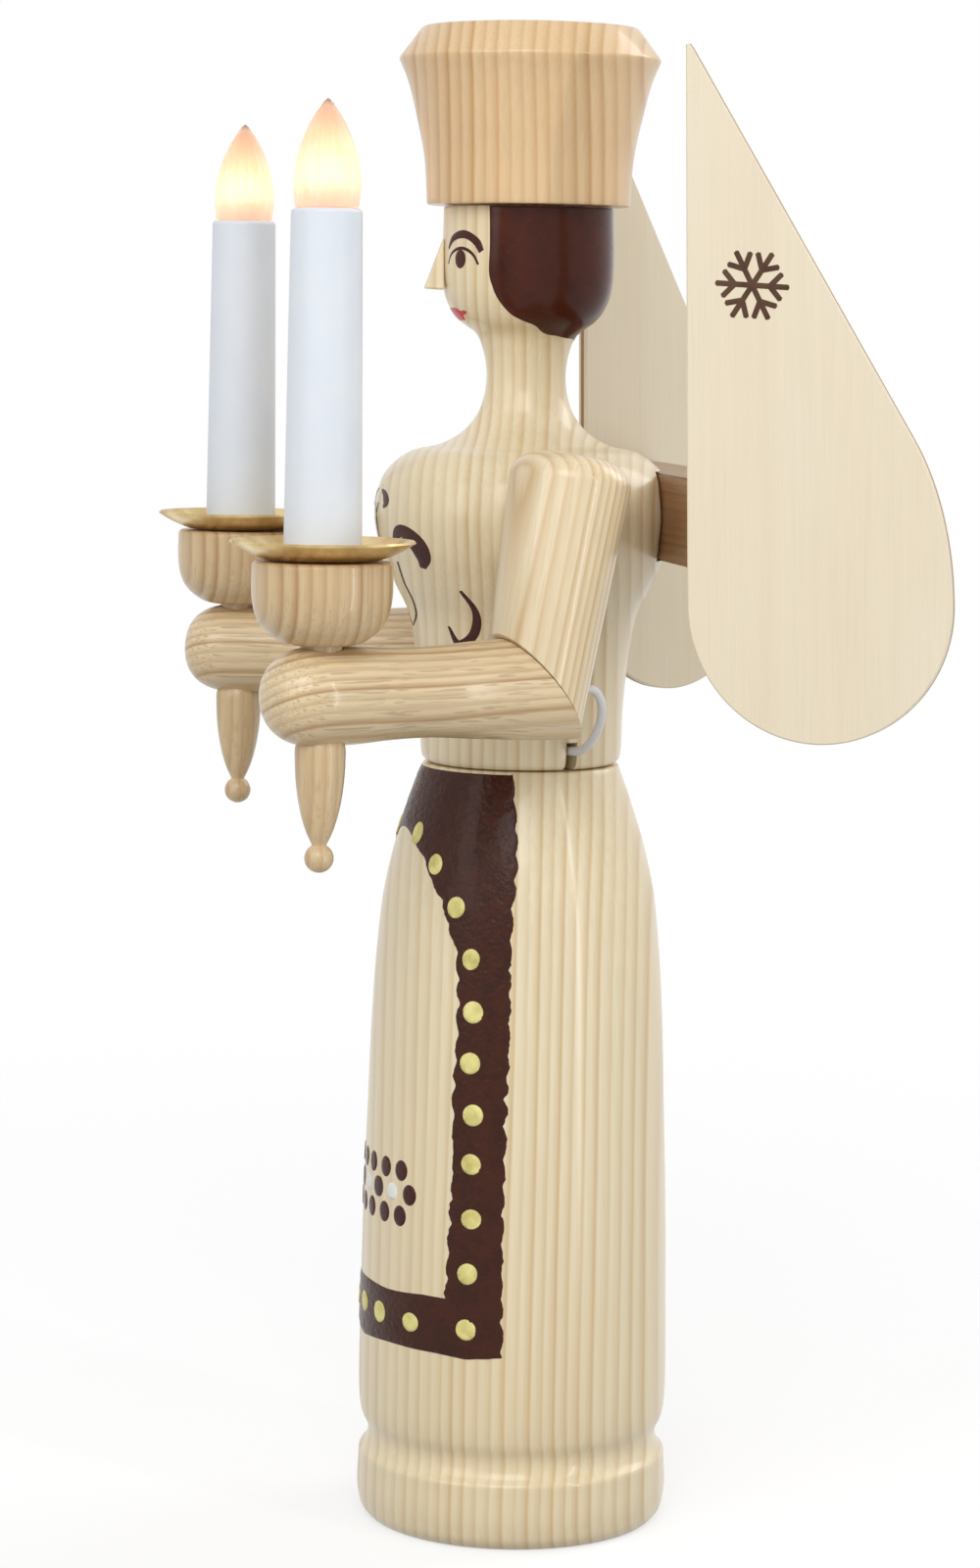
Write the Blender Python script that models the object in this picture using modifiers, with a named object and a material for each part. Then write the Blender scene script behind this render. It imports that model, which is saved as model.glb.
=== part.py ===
"""Light-up angel figure: turned wooden body, two candle arms, plywood wings.

Metres, +Z up. The origin is the centre of the skirt's underside, and the figure faces -Y,
so that its own left is +X.
"""
import math

import bmesh
import bpy
from mathutils import Matrix, Vector

COLLECTION = "light_up_angel"
SIDES = {"left": 1.0, "right": -1.0}

# Clearance between glued or seated faces
GAP = 0.0003

# Skirt
SKIRT_HEIGHT = 0.170
FOOT_RADIUS = 0.0346
FOOT_EASE = 0.0022
FOOT_HEIGHT = 0.0144
GROOVE_DEPTH = 0.0021
GROOVE_WIDTH = 0.0111
SKIRT_RADIUS = 0.0345
SKIRT_TOP_RADIUS = 0.0220
FLANK_HEIGHT = 0.053
SKIRT_STEPS = 40
# Share of the radius lost, share of the height gained, from the flank to the waist
SKIRT_SHOULDER = (
    (0.03, 0.19), (0.08, 0.34), (0.13, 0.50), (0.22, 0.65), (0.34, 0.76), (0.50, 0.84), (0.74, 0.92),
)

# Wiring pocket under the skirt and its cover
POCKET_RADIUS = 0.0150
POCKET_DEPTH = 0.0230
WIRING_BORE_RADIUS = 0.0040
COVER_RADIUS = 0.0190
COVER_THICKNESS = 0.0030
OUTLET_RADIUS = 0.0024
OUTLET_HEIGHT = 0.0090

# Torso, turned in one piece with the neck and the head
WAIST_RADIUS = 0.0222
WAIST_EASE = 0.0010
CHEST_RADIUS = 0.0337
CHEST_HEIGHT = 0.2275
NECK_RADIUS = 0.0089
NECK_HEIGHT = 0.2575
HEAD_RADIUS = 0.0190
CHEEK_HEIGHT = 0.2780
HEAD_TOP = 0.2950
TORSO_STEPS = 40
BODICE_SWELL = ((0.06, 0.21), (0.19, 0.46), (0.29, 0.565), (0.63, 0.71), (0.90, 0.85))
SHOULDER_SLOPE = (
    (0.02, 0.10), (0.089, 0.25), (0.19, 0.343), (0.327, 0.417), (0.593, 0.473), (0.762, 0.55),
    (0.923, 0.703), (0.984, 0.85),
)
JAW_SWELL = ((0.06, 0.22), (0.24, 0.44), (0.62, 0.585), (0.78, 0.68), (0.95, 0.86))
TENON_RADIUS = 0.0110
TENON_LENGTH = 0.0140
LEAD_BORE_RADIUS = 0.0034
HEAD_TENON_RADIUS = 0.0120
HEAD_TENON_LENGTH = 0.0120

# Notch in the bodice's rim and the channel behind it, one for each lead
CHANNEL_WIDTH = 0.0028
CHANNEL_HEIGHT = 0.0062
CHANNEL_ANGLE = math.radians(18.0)

# Hat
HAT_BOTTOM_RADIUS = 0.0228
HAT_RADIUS = 0.0295
HAT_RIM_HEIGHT = 0.0328
HAT_TOP_RADIUS = 0.0242
HAT_HEIGHT = 0.0410
HAT_DOME = 0.0011
HAT_FLARE = ((0.12, 0.34), (0.39, 0.61), (0.55, 0.75), (0.75, 0.88))

# Nose
NOSE_REACH = 0.0043
NOSE_HEIGHT = 0.0118
NOSE_DROP = 0.0012
NOSE_WIDTH = 0.0044
NOSE_BOTTOM = 0.2762

# Arms: the axes meet at the elbow, and the forearm is level. The axes' ends stand out from the
# chest's radius, and rise or drop from the chest's height
SHOULDER_OUT = 0.0063
SHOULDER_BACK = 0.0025
SHOULDER_RISE = 0.0131
ELBOW_OUT = 0.0108
ELBOW_FORWARD = 0.0063
ELBOW_DROP = 0.0366
CANDLE_SIDE = 0.0620
CANDLE_FORWARD = 0.0557
UPPER_ARM_RADIUS = 0.0133
ELBOW_RADIUS = 0.0113
SHOULDER_ROUND = 0.0060
HAND_RADIUS = 0.0105
WRIST_RADIUS = 0.0096
HAND_REACH = 0.0128
HAND_LENGTH = 0.0200
ARM_STEPS = 22
ARM_BORE_RADIUS = 0.0025
SHOULDER_DOWEL_RADIUS = 0.0030
SHOULDER_DOWEL_DEPTH = 0.0080
SHOULDER_DOWEL_DROP = 0.0035

# Candle cup
CUP_RADIUS = 0.0147
CUP_HEIGHT = 0.0174
CUP_SEAT_RADIUS = 0.0068
CUP_TENON_RADIUS = 0.0045
CUP_TENON_LENGTH = 0.0040
CUP_STEPS = 24
CUP_BOWL = ((0.06, 0.40), (0.23, 0.23), (0.52, 0.10), (0.82, 0.02))

# Finial under the hand
FINIAL_RADIUS = 0.0053
FINIAL_LENGTH = 0.0203
FINIAL_NECK_RADIUS = 0.0015
FINIAL_BALL_RADIUS = 0.0031
FINIAL_TENON_RADIUS = 0.0032
FINIAL_TENON_LENGTH = 0.0045
FINIAL_TAPER = ((-0.01, 0.12), (0.06, 0.32), (0.21, 0.55), (0.47, 0.76), (0.76, 0.91))
FINIAL_STEPS = 14

# Drip plate
PLATE_RADIUS = 0.0195
PLATE_FLOOR_RADIUS = 0.0118
PLATE_DEPTH = 0.0036
PLATE_WALL = 0.0006
PLATE_STEPS = 28

# Candle sleeve, lamp holder and bulb
SLEEVE_FOOT_RADIUS = 0.0082
SLEEVE_TOP_RADIUS = 0.00745
SLEEVE_LENGTH = 0.0720
SLEEVE_ROUND = 0.0010
HOLDER_RADIUS = 0.0060
HOLDER_RECESS = 0.0029
HOLDER_SPIGOT_RADIUS = 0.0042
HOLDER_SPIGOT_LENGTH = 0.0050
BULB_CAP_RADIUS = 0.0048
BULB_CAP_LENGTH = 0.0120
BULB_FOOT_RADIUS = 0.00665
BULB_RADIUS = 0.00705
BULB_HEIGHT = 0.0225
BULB_BELLY_HEIGHT = 0.0048
BULB_STEPS = 18
FLAME = ((0.02, 0.15), (0.09, 0.32), (0.26, 0.52), (0.51, 0.73), (0.76, 0.89), (0.93, 0.98))

# Wings and the block that carries them
WING_SIDE = 0.0510
WING_BACK = 0.0266
WING_SPLAY = math.radians(29.4)
# Turn of each wing in its own plane, with the foot outwards
WING_LEAN = math.radians(1.07)
WING_THICKNESS = 0.0030
WING_WIDTH = 0.0576
WING_ROUND_HEIGHT = 0.0295
WING_SHOULDER_RISE = 0.0500
WING_BOTTOM = 0.1800
WING_HEIGHT = 0.1500
WING_TIP_RADIUS = 0.0008
WING_ARC_POINTS = 26
BLOCK_BOTTOM = 0.2167
BLOCK_HEIGHT = 0.0193
BLOCK_DEPTH = 0.0190
WING_DOWEL_RADIUS = 0.0030
WING_DOWEL_DEPTH = 0.0100

# Lamp leads and the terminal block
LEAD_RADIUS = 0.00105
LEAD_BEND = 0.0044
LEAD_SPACING = 0.0017
LEAD_TOP = 0.2650
LEAD_RISE = 0.0042
TERMINAL_LENGTH = 0.0160
TERMINAL_DEPTH = 0.0100
TERMINAL_HEIGHT = 0.0100
TERMINAL_HOLE_RADIUS = 0.0014
TERMINAL_HOLE_DEPTH = 0.0060
TERMINAL_PITCH = 0.0080

# Heights and places that follow from the sizes above
TORSO_BOTTOM = SKIRT_HEIGHT + GAP
HAT_BOTTOM = HEAD_TOP + GAP
SHOULDER = Vector((CHEST_RADIUS + SHOULDER_OUT, SHOULDER_BACK, CHEST_HEIGHT + SHOULDER_RISE))
ELBOW = Vector((CHEST_RADIUS + ELBOW_OUT, -ELBOW_FORWARD, CHEST_HEIGHT - ELBOW_DROP))
SHOULDER_DOWEL_HEIGHT = CHEST_HEIGHT - SHOULDER_DOWEL_DROP
FOREARM_LEVEL = ELBOW.z
HAND_TOP = FOREARM_LEVEL + HAND_RADIUS
CUP_BOTTOM = HAND_TOP + GAP
PLATE_BOTTOM = CUP_BOTTOM + CUP_HEIGHT + GAP
SLEEVE_BOTTOM = PLATE_BOTTOM + PLATE_WALL + GAP
SLEEVE_TOP = SLEEVE_BOTTOM + SLEEVE_LENGTH
HOLDER_TOP = SLEEVE_TOP - HOLDER_RECESS
BULB_BOTTOM = SLEEVE_TOP + GAP
BULB_CAP_BOTTOM = BULB_BOTTOM - BULB_CAP_LENGTH
FINIAL_TOP = FOREARM_LEVEL - HAND_RADIUS - GAP

WOOD_BODY = (0.72, 0.62, 0.42)
WOOD_ARM = (0.67, 0.52, 0.31)
WOOD_CUP = (0.60, 0.41, 0.20)
WOOD_HAT = (0.66, 0.49, 0.28)
PLYWOOD = (0.80, 0.70, 0.51)
WOOD_BLOCK = (0.50, 0.33, 0.16)
BRASS = (0.62, 0.44, 0.17)
SLEEVE_WHITE = (0.78, 0.82, 0.86)
LEAD_WHITE = (0.80, 0.80, 0.80)
GLASS_LIT = (1.0, 0.78, 0.52)
TERMINAL_CREAM = (0.75, 0.74, 0.68)


def clear_scene():
    """Remove every object that a new file brings."""
    for thing in list(bpy.data.objects):
        bpy.data.objects.remove(thing)


def new_collection(name):
    """Return a new collection linked to the scene."""
    collection = bpy.data.collections.new(name)
    bpy.context.scene.collection.children.link(collection)
    return collection


def material(name, color, roughness, metallic=0.0):
    """Return a Principled material."""
    made = bpy.data.materials.new(name)
    made.use_nodes = True
    shader = made.node_tree.nodes["Principled BSDF"]
    shader.inputs["Base Color"].default_value = (*color, 1.0)
    shader.inputs["Roughness"].default_value = roughness
    shader.inputs["Metallic"].default_value = metallic
    return made


def add(name, mesh, collection, look=None):
    """Link a mesh as an object, smooth but for its real edges."""
    thing = bpy.data.objects.new(name, mesh)
    collection.objects.link(thing)
    if look:
        mesh.materials.append(material(name, *look))
    mesh.shade_smooth()
    mesh.set_sharp_from_angle(angle=math.radians(35.0))
    return thing


def as_cutter(thing):
    """Mark an object as a cutting guide."""
    thing.hide_render = True
    thing.display_type = "WIRE"
    return thing


def turned(name, profile, collection, look=None, steps=SKIRT_STEPS, closed=False):
    """Turn a profile of (radius, height) points about Z.

    The profile runs down the outer side. A closed profile goes round a bore, and an open one
    starts and ends on the axis.
    """
    mesh = bpy.data.meshes.new(name)
    edges = [(i, i + 1) for i in range(len(profile) - 1)]
    if closed:
        edges.append((len(profile) - 1, 0))
    mesh.from_pydata([(radius, 0.0, height) for radius, height in profile], edges, [])
    thing = add(name, mesh, collection, look)
    screw = thing.modifiers.new("turn", "SCREW")
    screw.axis = "Z"
    screw.steps = steps
    screw.render_steps = steps
    screw.use_merge_vertices = True
    screw.merge_threshold = 0.00001
    screw.use_smooth_shade = True
    return thing


def swell(start, end, shares):
    """Return the points of a turned curve between two (radius, height) points, both left out."""
    return [
        (start[0] + (end[0] - start[0]) * across, start[1] + (end[1] - start[1]) * along)
        for across, along in shares
    ]


def rod(name, start, end, radius, collection, look=None, sides=16):
    """Return a cylinder from start to end."""
    start, end = Vector(start), Vector(end)
    mesh = bpy.data.meshes.new(name)
    shape = bmesh.new()
    bmesh.ops.create_cone(
        shape, cap_ends=True, segments=sides, radius1=radius, radius2=radius, depth=(end - start).length
    )
    shape.to_mesh(mesh)
    shape.free()
    thing = add(name, mesh, collection, look)
    thing.location = (start + end) / 2
    thing.rotation_euler = (end - start).to_track_quat("Z", "Y").to_euler()
    return thing


def block(name, size, collection, look=None):
    """Return a box of the given size, centred on its origin."""
    mesh = bpy.data.meshes.new(name)
    shape = bmesh.new()
    bmesh.ops.create_cube(shape, size=1.0, matrix=Matrix.Diagonal((*size, 1.0)))
    shape.to_mesh(mesh)
    shape.free()
    return add(name, mesh, collection, look)


def mesh_from(curve_object, name, collection, look=None):
    """Make a curve object into a closed mesh object in the same place, and drop the curve."""
    bpy.context.view_layer.update()
    evaluated = curve_object.evaluated_get(bpy.context.evaluated_depsgraph_get())
    mesh = bpy.data.meshes.new_from_object(evaluated)
    mesh.name = name
    shape = bmesh.new()
    shape.from_mesh(mesh)
    bmesh.ops.remove_doubles(shape, verts=shape.verts, dist=0.000001)
    shape.to_mesh(mesh)
    shape.free()
    mesh.materials.clear()
    thing = add(name, mesh, collection, look)
    thing.matrix_world = curve_object.matrix_world
    bpy.data.objects.remove(curve_object)
    return thing


def plate(name, outline, thickness, placing, collection, look=None):
    """Return a flat plate of an outline in its local XY plane, placed by a matrix."""
    curve = bpy.data.curves.new(name, "CURVE")
    curve.dimensions = "2D"
    curve.fill_mode = "BOTH"
    curve.extrude = thickness / 2
    spline = curve.splines.new("POLY")
    spline.points.add(len(outline) - 1)
    for point, (x, y) in zip(spline.points, outline):
        point.co = (x, y, 0.0, 1.0)
    spline.use_cyclic_u = True
    guide = bpy.data.objects.new(name + "_outline", curve)
    collection.objects.link(guide)
    guide.matrix_world = placing
    return mesh_from(guide, name, collection, look)


def boolean(thing, tools, operation="DIFFERENCE"):
    """Cut or join tools with an object, by exact Booleans."""
    for number, tool in enumerate(tools):
        modifier = thing.modifiers.new(f"{operation.lower()}_{number}", "BOOLEAN")
        modifier.operation = operation
        modifier.solver = "EXACT"
        modifier.object = tool


def skirt_profile():
    """Return the skirt's closed profile, round its socket, bore, pocket and rebate."""
    groove_radius = FOOT_RADIUS - GROOVE_DEPTH
    groove_low = FOOT_HEIGHT + GROOVE_WIDTH * 0.38
    flank_low = FOOT_HEIGHT + GROOVE_WIDTH
    flank = (SKIRT_RADIUS, FLANK_HEIGHT)
    top = (SKIRT_TOP_RADIUS, SKIRT_HEIGHT)
    shoulder = swell(flank, top, SKIRT_SHOULDER)
    socket_radius = TENON_RADIUS + GAP
    socket_floor = TORSO_BOTTOM - TENON_LENGTH - GAP
    rebate_radius = COVER_RADIUS + GAP
    rebate_top = COVER_THICKNESS + GAP
    return [
        (socket_radius, SKIRT_HEIGHT), top, *reversed(shoulder), flank,
        (SKIRT_RADIUS, flank_low),
        (SKIRT_RADIUS - GROOVE_DEPTH * 0.25, flank_low - GROOVE_WIDTH * 0.25),
        (groove_radius + GROOVE_DEPTH * 0.10, groove_low + GROOVE_WIDTH * 0.12),
        (groove_radius, groove_low),
        (groove_radius + GROOVE_DEPTH * 0.45, FOOT_HEIGHT + GROOVE_WIDTH * 0.12),
        (FOOT_RADIUS, FOOT_HEIGHT),
        (FOOT_RADIUS, FOOT_EASE * 2),
        (FOOT_RADIUS - FOOT_EASE * 0.3, FOOT_EASE * 0.8),
        (FOOT_RADIUS - FOOT_EASE, 0.0),
        (rebate_radius, 0.0), (rebate_radius, rebate_top),
        (POCKET_RADIUS, rebate_top), (POCKET_RADIUS, POCKET_DEPTH),
        (WIRING_BORE_RADIUS, POCKET_DEPTH), (WIRING_BORE_RADIUS, socket_floor),
        (socket_radius, socket_floor),
    ]


def torso_outline(growth=0.0):
    """Return the torso's outer side from the hat's seat down to the waist.

    growth widens every radius, for a tool that cuts a neighbour to the same curve.
    """
    waist = (WAIST_RADIUS, TORSO_BOTTOM + WAIST_EASE)
    chest = (CHEST_RADIUS, CHEST_HEIGHT)
    neck = (NECK_RADIUS, NECK_HEIGHT)
    cheek = (HEAD_RADIUS, CHEEK_HEIGHT)
    rising = [
        (WAIST_RADIUS - WAIST_EASE, TORSO_BOTTOM), waist, *swell(waist, chest, BODICE_SWELL), chest,
        *swell(chest, neck, SHOULDER_SLOPE), neck, *swell(neck, cheek, JAW_SWELL), cheek,
        (HEAD_RADIUS, HEAD_TOP),
    ]
    return [(radius + growth, height) for radius, height in reversed(rising)]


def torso_profile():
    """Return the torso's profile, with the head's tenon, the waist tenon and the lead bore."""
    tenon_bottom = TORSO_BOTTOM - TENON_LENGTH
    bore_top = TORSO_BOTTOM + CHANNEL_HEIGHT
    return [
        (0.0, HEAD_TOP + HEAD_TENON_LENGTH), (HEAD_TENON_RADIUS, HEAD_TOP + HEAD_TENON_LENGTH),
        (HEAD_TENON_RADIUS, HEAD_TOP), *torso_outline(),
        (TENON_RADIUS, TORSO_BOTTOM), (TENON_RADIUS, tenon_bottom),
        (LEAD_BORE_RADIUS, tenon_bottom), (LEAD_BORE_RADIUS, bore_top), (0.0, bore_top),
    ]


def hat_profile():
    """Return the hat's profile, with the blind hole that takes the head's tenon."""
    bottom = (HAT_BOTTOM_RADIUS, HAT_BOTTOM)
    rim = (HAT_RADIUS, HAT_BOTTOM + HAT_RIM_HEIGHT)
    crown = HAT_BOTTOM + HAT_HEIGHT
    hole_radius = HEAD_TENON_RADIUS + GAP
    hole_top = HEAD_TOP + HEAD_TENON_LENGTH + GAP
    return [
        (0.0, crown), (HAT_TOP_RADIUS * 0.6, crown - HAT_DOME * 0.3),
        (HAT_TOP_RADIUS, crown - HAT_DOME), rim,
        *reversed(swell(bottom, rim, HAT_FLARE)), bottom,
        (hole_radius, HAT_BOTTOM), (hole_radius, hole_top), (0.0, hole_top),
    ]


def candle_axis(side):
    """Return the plan point of a candle's axis."""
    return Vector((CANDLE_SIDE * side, -CANDLE_FORWARD, 0.0))


def mirrored(point, side):
    """Return a left-hand point on the given side."""
    return Vector((point.x * side, point.y, point.z))


def hand_direction(side):
    """Return the level direction from an elbow to its hand."""
    elbow = mirrored(ELBOW, side)
    ahead = candle_axis(side) - elbow
    ahead.z = 0.0
    return ahead.normalized()


def mitre_box(name, side, towards_hand, cutters):
    """Return a box whose face is the elbow's mitre plane, on one side of it."""
    elbow = mirrored(ELBOW, side)
    up_arm = (mirrored(SHOULDER, side) - elbow).normalized()
    normal = (hand_direction(side) - up_arm).normalized()
    if not towards_hand:
        normal = -normal
    reach = 0.12
    box = as_cutter(block(name, (reach, reach, reach), cutters))
    box.rotation_euler = normal.to_track_quat("Z", "Y").to_euler()
    box.location = elbow + normal * (reach / 2 - GAP / 2)
    return box


def upper_arm_profile():
    """Return the upper arm's profile from its round top down, past the elbow."""
    length = (SHOULDER - ELBOW).length
    spare = ELBOW_RADIUS * 1.9
    taper = (UPPER_ARM_RADIUS - ELBOW_RADIUS) / length
    corner = [
        (
            UPPER_ARM_RADIUS - SHOULDER_ROUND * 1.3 * (1 - math.sin(angle)),
            -SHOULDER_ROUND * (1 - math.cos(angle)),
        )
        for angle in (math.radians(share * 22.5) for share in range(5))
    ]
    return [
        (0.0, 0.0), *corner,
        (ELBOW_RADIUS, -length), (ELBOW_RADIUS - taper * spare, -length - spare), (0.0, -length - spare),
    ]


def forearm_profile():
    """Return the forearm's profile from the hand's round end back past the elbow.

    Heights are distances from the candle's axis, with the hand's end above.
    """
    length = (candle_axis(1.0) - Vector((ELBOW.x, ELBOW.y, 0.0))).length
    spare = ELBOW_RADIUS * 1.6
    end = [
        (HAND_RADIUS * math.sin(angle) ** 0.8, HAND_REACH * math.cos(angle) ** 0.8)
        for angle in (math.radians(share * 15.0) for share in range(1, 6))
    ]
    return [
        (0.0, HAND_REACH), *end, (HAND_RADIUS, 0.0),
        (HAND_RADIUS * 0.985, -HAND_LENGTH * 0.4),
        (WRIST_RADIUS * 1.02, -HAND_LENGTH * 0.8),
        (WRIST_RADIUS, -HAND_LENGTH * 1.2),
        ((WRIST_RADIUS + ELBOW_RADIUS) / 2, -length * 0.72),
        (ELBOW_RADIUS, -length), (ELBOW_RADIUS, -length - spare), (0.0, -length - spare),
    ]


def cup_profile():
    """Return the candle cup's closed profile, round its bore, with a hollow tenon below."""
    seat = (CUP_SEAT_RADIUS, CUP_BOTTOM)
    brim = (CUP_RADIUS, CUP_BOTTOM + CUP_HEIGHT)
    ease = 0.0006
    bowl = [
        (CUP_RADIUS - (CUP_RADIUS - CUP_SEAT_RADIUS) * across, CUP_BOTTOM + CUP_HEIGHT * along)
        for across, along in CUP_BOWL
    ]
    recess_radius = HOLDER_SPIGOT_RADIUS + GAP
    recess_floor = SLEEVE_BOTTOM - HOLDER_SPIGOT_LENGTH - GAP
    tenon_bottom = CUP_BOTTOM - CUP_TENON_LENGTH
    return [
        (recess_radius, brim[1]), (CUP_RADIUS - ease, brim[1]), (CUP_RADIUS, brim[1] - ease),
        (CUP_RADIUS, CUP_BOTTOM + CUP_HEIGHT * 0.58), *bowl, seat,
        (CUP_TENON_RADIUS, CUP_BOTTOM), (CUP_TENON_RADIUS, tenon_bottom),
        (ARM_BORE_RADIUS, tenon_bottom), (ARM_BORE_RADIUS, recess_floor),
        (recess_radius, recess_floor),
    ]


def finial_profile():
    """Return the profile of the spindle and ball under a hand, with its tenon above."""
    shoulder = (FINIAL_RADIUS, FINIAL_TOP)
    neck = (FINIAL_NECK_RADIUS, FINIAL_TOP - FINIAL_LENGTH)
    tenon_top = FINIAL_TOP + FINIAL_TENON_LENGTH
    sink = math.acos(FINIAL_NECK_RADIUS / FINIAL_BALL_RADIUS)
    centre = neck[1] - FINIAL_BALL_RADIUS * math.sin(sink)
    ball = []
    for share in range(9):
        angle = sink - (sink + math.pi / 2) * share / 8
        ball.append((FINIAL_BALL_RADIUS * math.cos(angle), centre + FINIAL_BALL_RADIUS * math.sin(angle)))
    ball[-1] = (0.0, centre - FINIAL_BALL_RADIUS)
    return [
        (0.0, tenon_top), (FINIAL_TENON_RADIUS, tenon_top), (FINIAL_TENON_RADIUS, FINIAL_TOP),
        shoulder, *swell(shoulder, neck, FINIAL_TAPER), *ball,
    ]


def drip_plate_profile():
    """Return the dish's closed profile, round the hole for the lamp holder's spigot."""
    hole = HOLDER_SPIGOT_RADIUS + GAP
    low, high = PLATE_BOTTOM, PLATE_BOTTOM + PLATE_DEPTH
    middle = (PLATE_FLOOR_RADIUS + PLATE_RADIUS) / 2
    rise = PLATE_DEPTH * 0.42
    return [
        (hole, low + PLATE_WALL), (PLATE_FLOOR_RADIUS, low + PLATE_WALL),
        (middle, low + rise + PLATE_WALL), (PLATE_RADIUS - PLATE_WALL * 0.5, high + PLATE_WALL * 0.4),
        (PLATE_RADIUS, high), (middle, low + rise), (PLATE_FLOOR_RADIUS, low), (hole, low),
    ]


def sleeve_profile():
    """Return the white sleeve's closed profile, round its bore."""
    bore = HOLDER_RADIUS + GAP
    round_points = [
        (
            SLEEVE_TOP_RADIUS - SLEEVE_ROUND * (1 - math.sin(angle)),
            SLEEVE_TOP - SLEEVE_ROUND * (1 - math.cos(angle)),
        )
        for angle in (math.radians(share * 30.0) for share in range(4))
    ]
    return [(bore, SLEEVE_TOP), *round_points, (SLEEVE_FOOT_RADIUS, SLEEVE_BOTTOM), (bore, SLEEVE_BOTTOM)]


def holder_profile():
    """Return the lamp holder's closed profile: a long socket with a spigot below."""
    socket = BULB_CAP_RADIUS + GAP
    socket_floor = BULB_CAP_BOTTOM - GAP
    spigot_bottom = SLEEVE_BOTTOM - HOLDER_SPIGOT_LENGTH
    return [
        (socket, HOLDER_TOP), (HOLDER_RADIUS, HOLDER_TOP), (HOLDER_RADIUS, SLEEVE_BOTTOM),
        (HOLDER_SPIGOT_RADIUS, SLEEVE_BOTTOM), (HOLDER_SPIGOT_RADIUS, spigot_bottom),
        (ARM_BORE_RADIUS, spigot_bottom), (ARM_BORE_RADIUS, socket_floor), (socket, socket_floor),
    ]


def bulb_profile():
    """Return the flame-shaped bulb's profile, with its screw cap below."""
    belly = (BULB_RADIUS, BULB_BOTTOM + BULB_BELLY_HEIGHT)
    tip = (0.0, BULB_BOTTOM + BULB_HEIGHT)
    return [
        tip, *reversed(swell(belly, tip, FLAME)), belly, (BULB_FOOT_RADIUS, BULB_BOTTOM),
        (BULB_CAP_RADIUS, BULB_BOTTOM), (BULB_CAP_RADIUS, BULB_CAP_BOTTOM), (0.0, BULB_CAP_BOTTOM),
    ]


def wing_outline():
    """Return a teardrop: a straight inner edge, a round foot, a shoulder and a slant to the tip."""
    half = WING_WIDTH / 2
    rise = (WING_HEIGHT - WING_ROUND_HEIGHT) / WING_SHOULDER_RISE
    # In a plane where the shoulder is a unit circle, the tip stands at (-1, rise)
    outer = 2 * math.atan2(1.0, rise)
    points = []
    for number in range(WING_ARC_POINTS + 1):
        angle = math.pi + (math.pi + outer) * number / WING_ARC_POINTS
        reach = WING_SHOULDER_RISE if angle > 2 * math.pi else WING_ROUND_HEIGHT
        points.append((half + half * math.cos(angle), WING_ROUND_HEIGHT + reach * math.sin(angle)))
    tip_height = WING_HEIGHT - WING_TIP_RADIUS
    return points + [(WING_TIP_RADIUS * 1.5, tip_height - WING_TIP_RADIUS), (0.0, tip_height)]


def wing_placing(side):
    """Return the matrix that stands a wing on the block's end."""
    along = Vector((math.sin(WING_SPLAY) * side, math.cos(WING_SPLAY), 0.0))
    outward = Vector((math.cos(WING_SPLAY) * side, -math.sin(WING_SPLAY), 0.0))
    up = Vector((0.0, 0.0, 1.0))
    corner = Vector((WING_SIDE * side, WING_BACK, WING_BOTTOM)) + outward * (WING_THICKNESS / 2)
    placing = Matrix((along, up, along.cross(up))).transposed().to_4x4()
    placing.translation = corner
    return placing @ Matrix.Rotation(WING_LEAN, 4, "Z")


def block_outline():
    """Return the wing block's plan, with its ends cut to the wings' slant."""
    front = WING_BACK + GAP
    end_gap = GAP / math.cos(WING_SPLAY)
    near = WING_SIDE + (front - WING_BACK) * math.tan(WING_SPLAY) - end_gap
    far = near + BLOCK_DEPTH * math.tan(WING_SPLAY)
    back = front + BLOCK_DEPTH
    return [(-near, front), (near, front), (far, back), (-far, back)]


def bend(corner, before, after, radius, count=5):
    """Return the points of a round bend at a corner between two neighbours."""
    to_before = (before - corner).normalized()
    to_after = (after - corner).normalized()
    half = to_before.angle(to_after) / 2
    setback = radius / math.tan(half)
    centre = corner + (to_before + to_after).normalized() * (radius / math.sin(half))
    start = corner + to_before * setback - centre
    end = corner + to_after * setback - centre
    return [centre + start.slerp(end, share / (count - 1)) * radius for share in range(count)]


def lead_route(side):
    """Return a lamp lead's centreline, from its lamp holder to the terminal block.

    It runs down the candle's axis, back through the forearm, in a short open loop to the notch
    in the bodice, to the middle of the body and down.
    """
    candle = candle_axis(side)
    back = -hand_direction(side)
    elbow = mirrored(ELBOW, side)
    top = Vector((candle.x, candle.y, LEAD_TOP))
    turn = Vector((candle.x, candle.y, FOREARM_LEVEL))
    exit_point = elbow + back * (ELBOW_RADIUS + 0.0020)
    inwards = Vector((math.cos(CHANNEL_ANGLE) * side, math.sin(CHANNEL_ANGLE), 0.0))
    level = TORSO_BOTTOM + LEAD_RISE
    notch = inwards * (WAIST_RADIUS + 0.0012)
    notch.z = level
    inner = inwards * LEAD_SPACING
    inner.z = level
    below = Vector((inner.x, inner.y, POCKET_DEPTH + 0.004))
    hole_floor = COVER_THICKNESS + GAP + TERMINAL_HEIGHT - TERMINAL_HOLE_DEPTH
    end = Vector((TERMINAL_PITCH / 2 * side, 0.0, hole_floor + GAP))
    above_end = end + Vector((0.0, 0.0, TERMINAL_HOLE_DEPTH + 0.001))
    loop = open_loop(exit_point, back, notch, -inwards)
    return [
        top, *bend(turn, top, elbow, LEAD_BEND), *loop,
        *bend(inner, notch, below, LEAD_BEND), below,
        below.lerp(above_end, 0.5), above_end, end,
    ]


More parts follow.
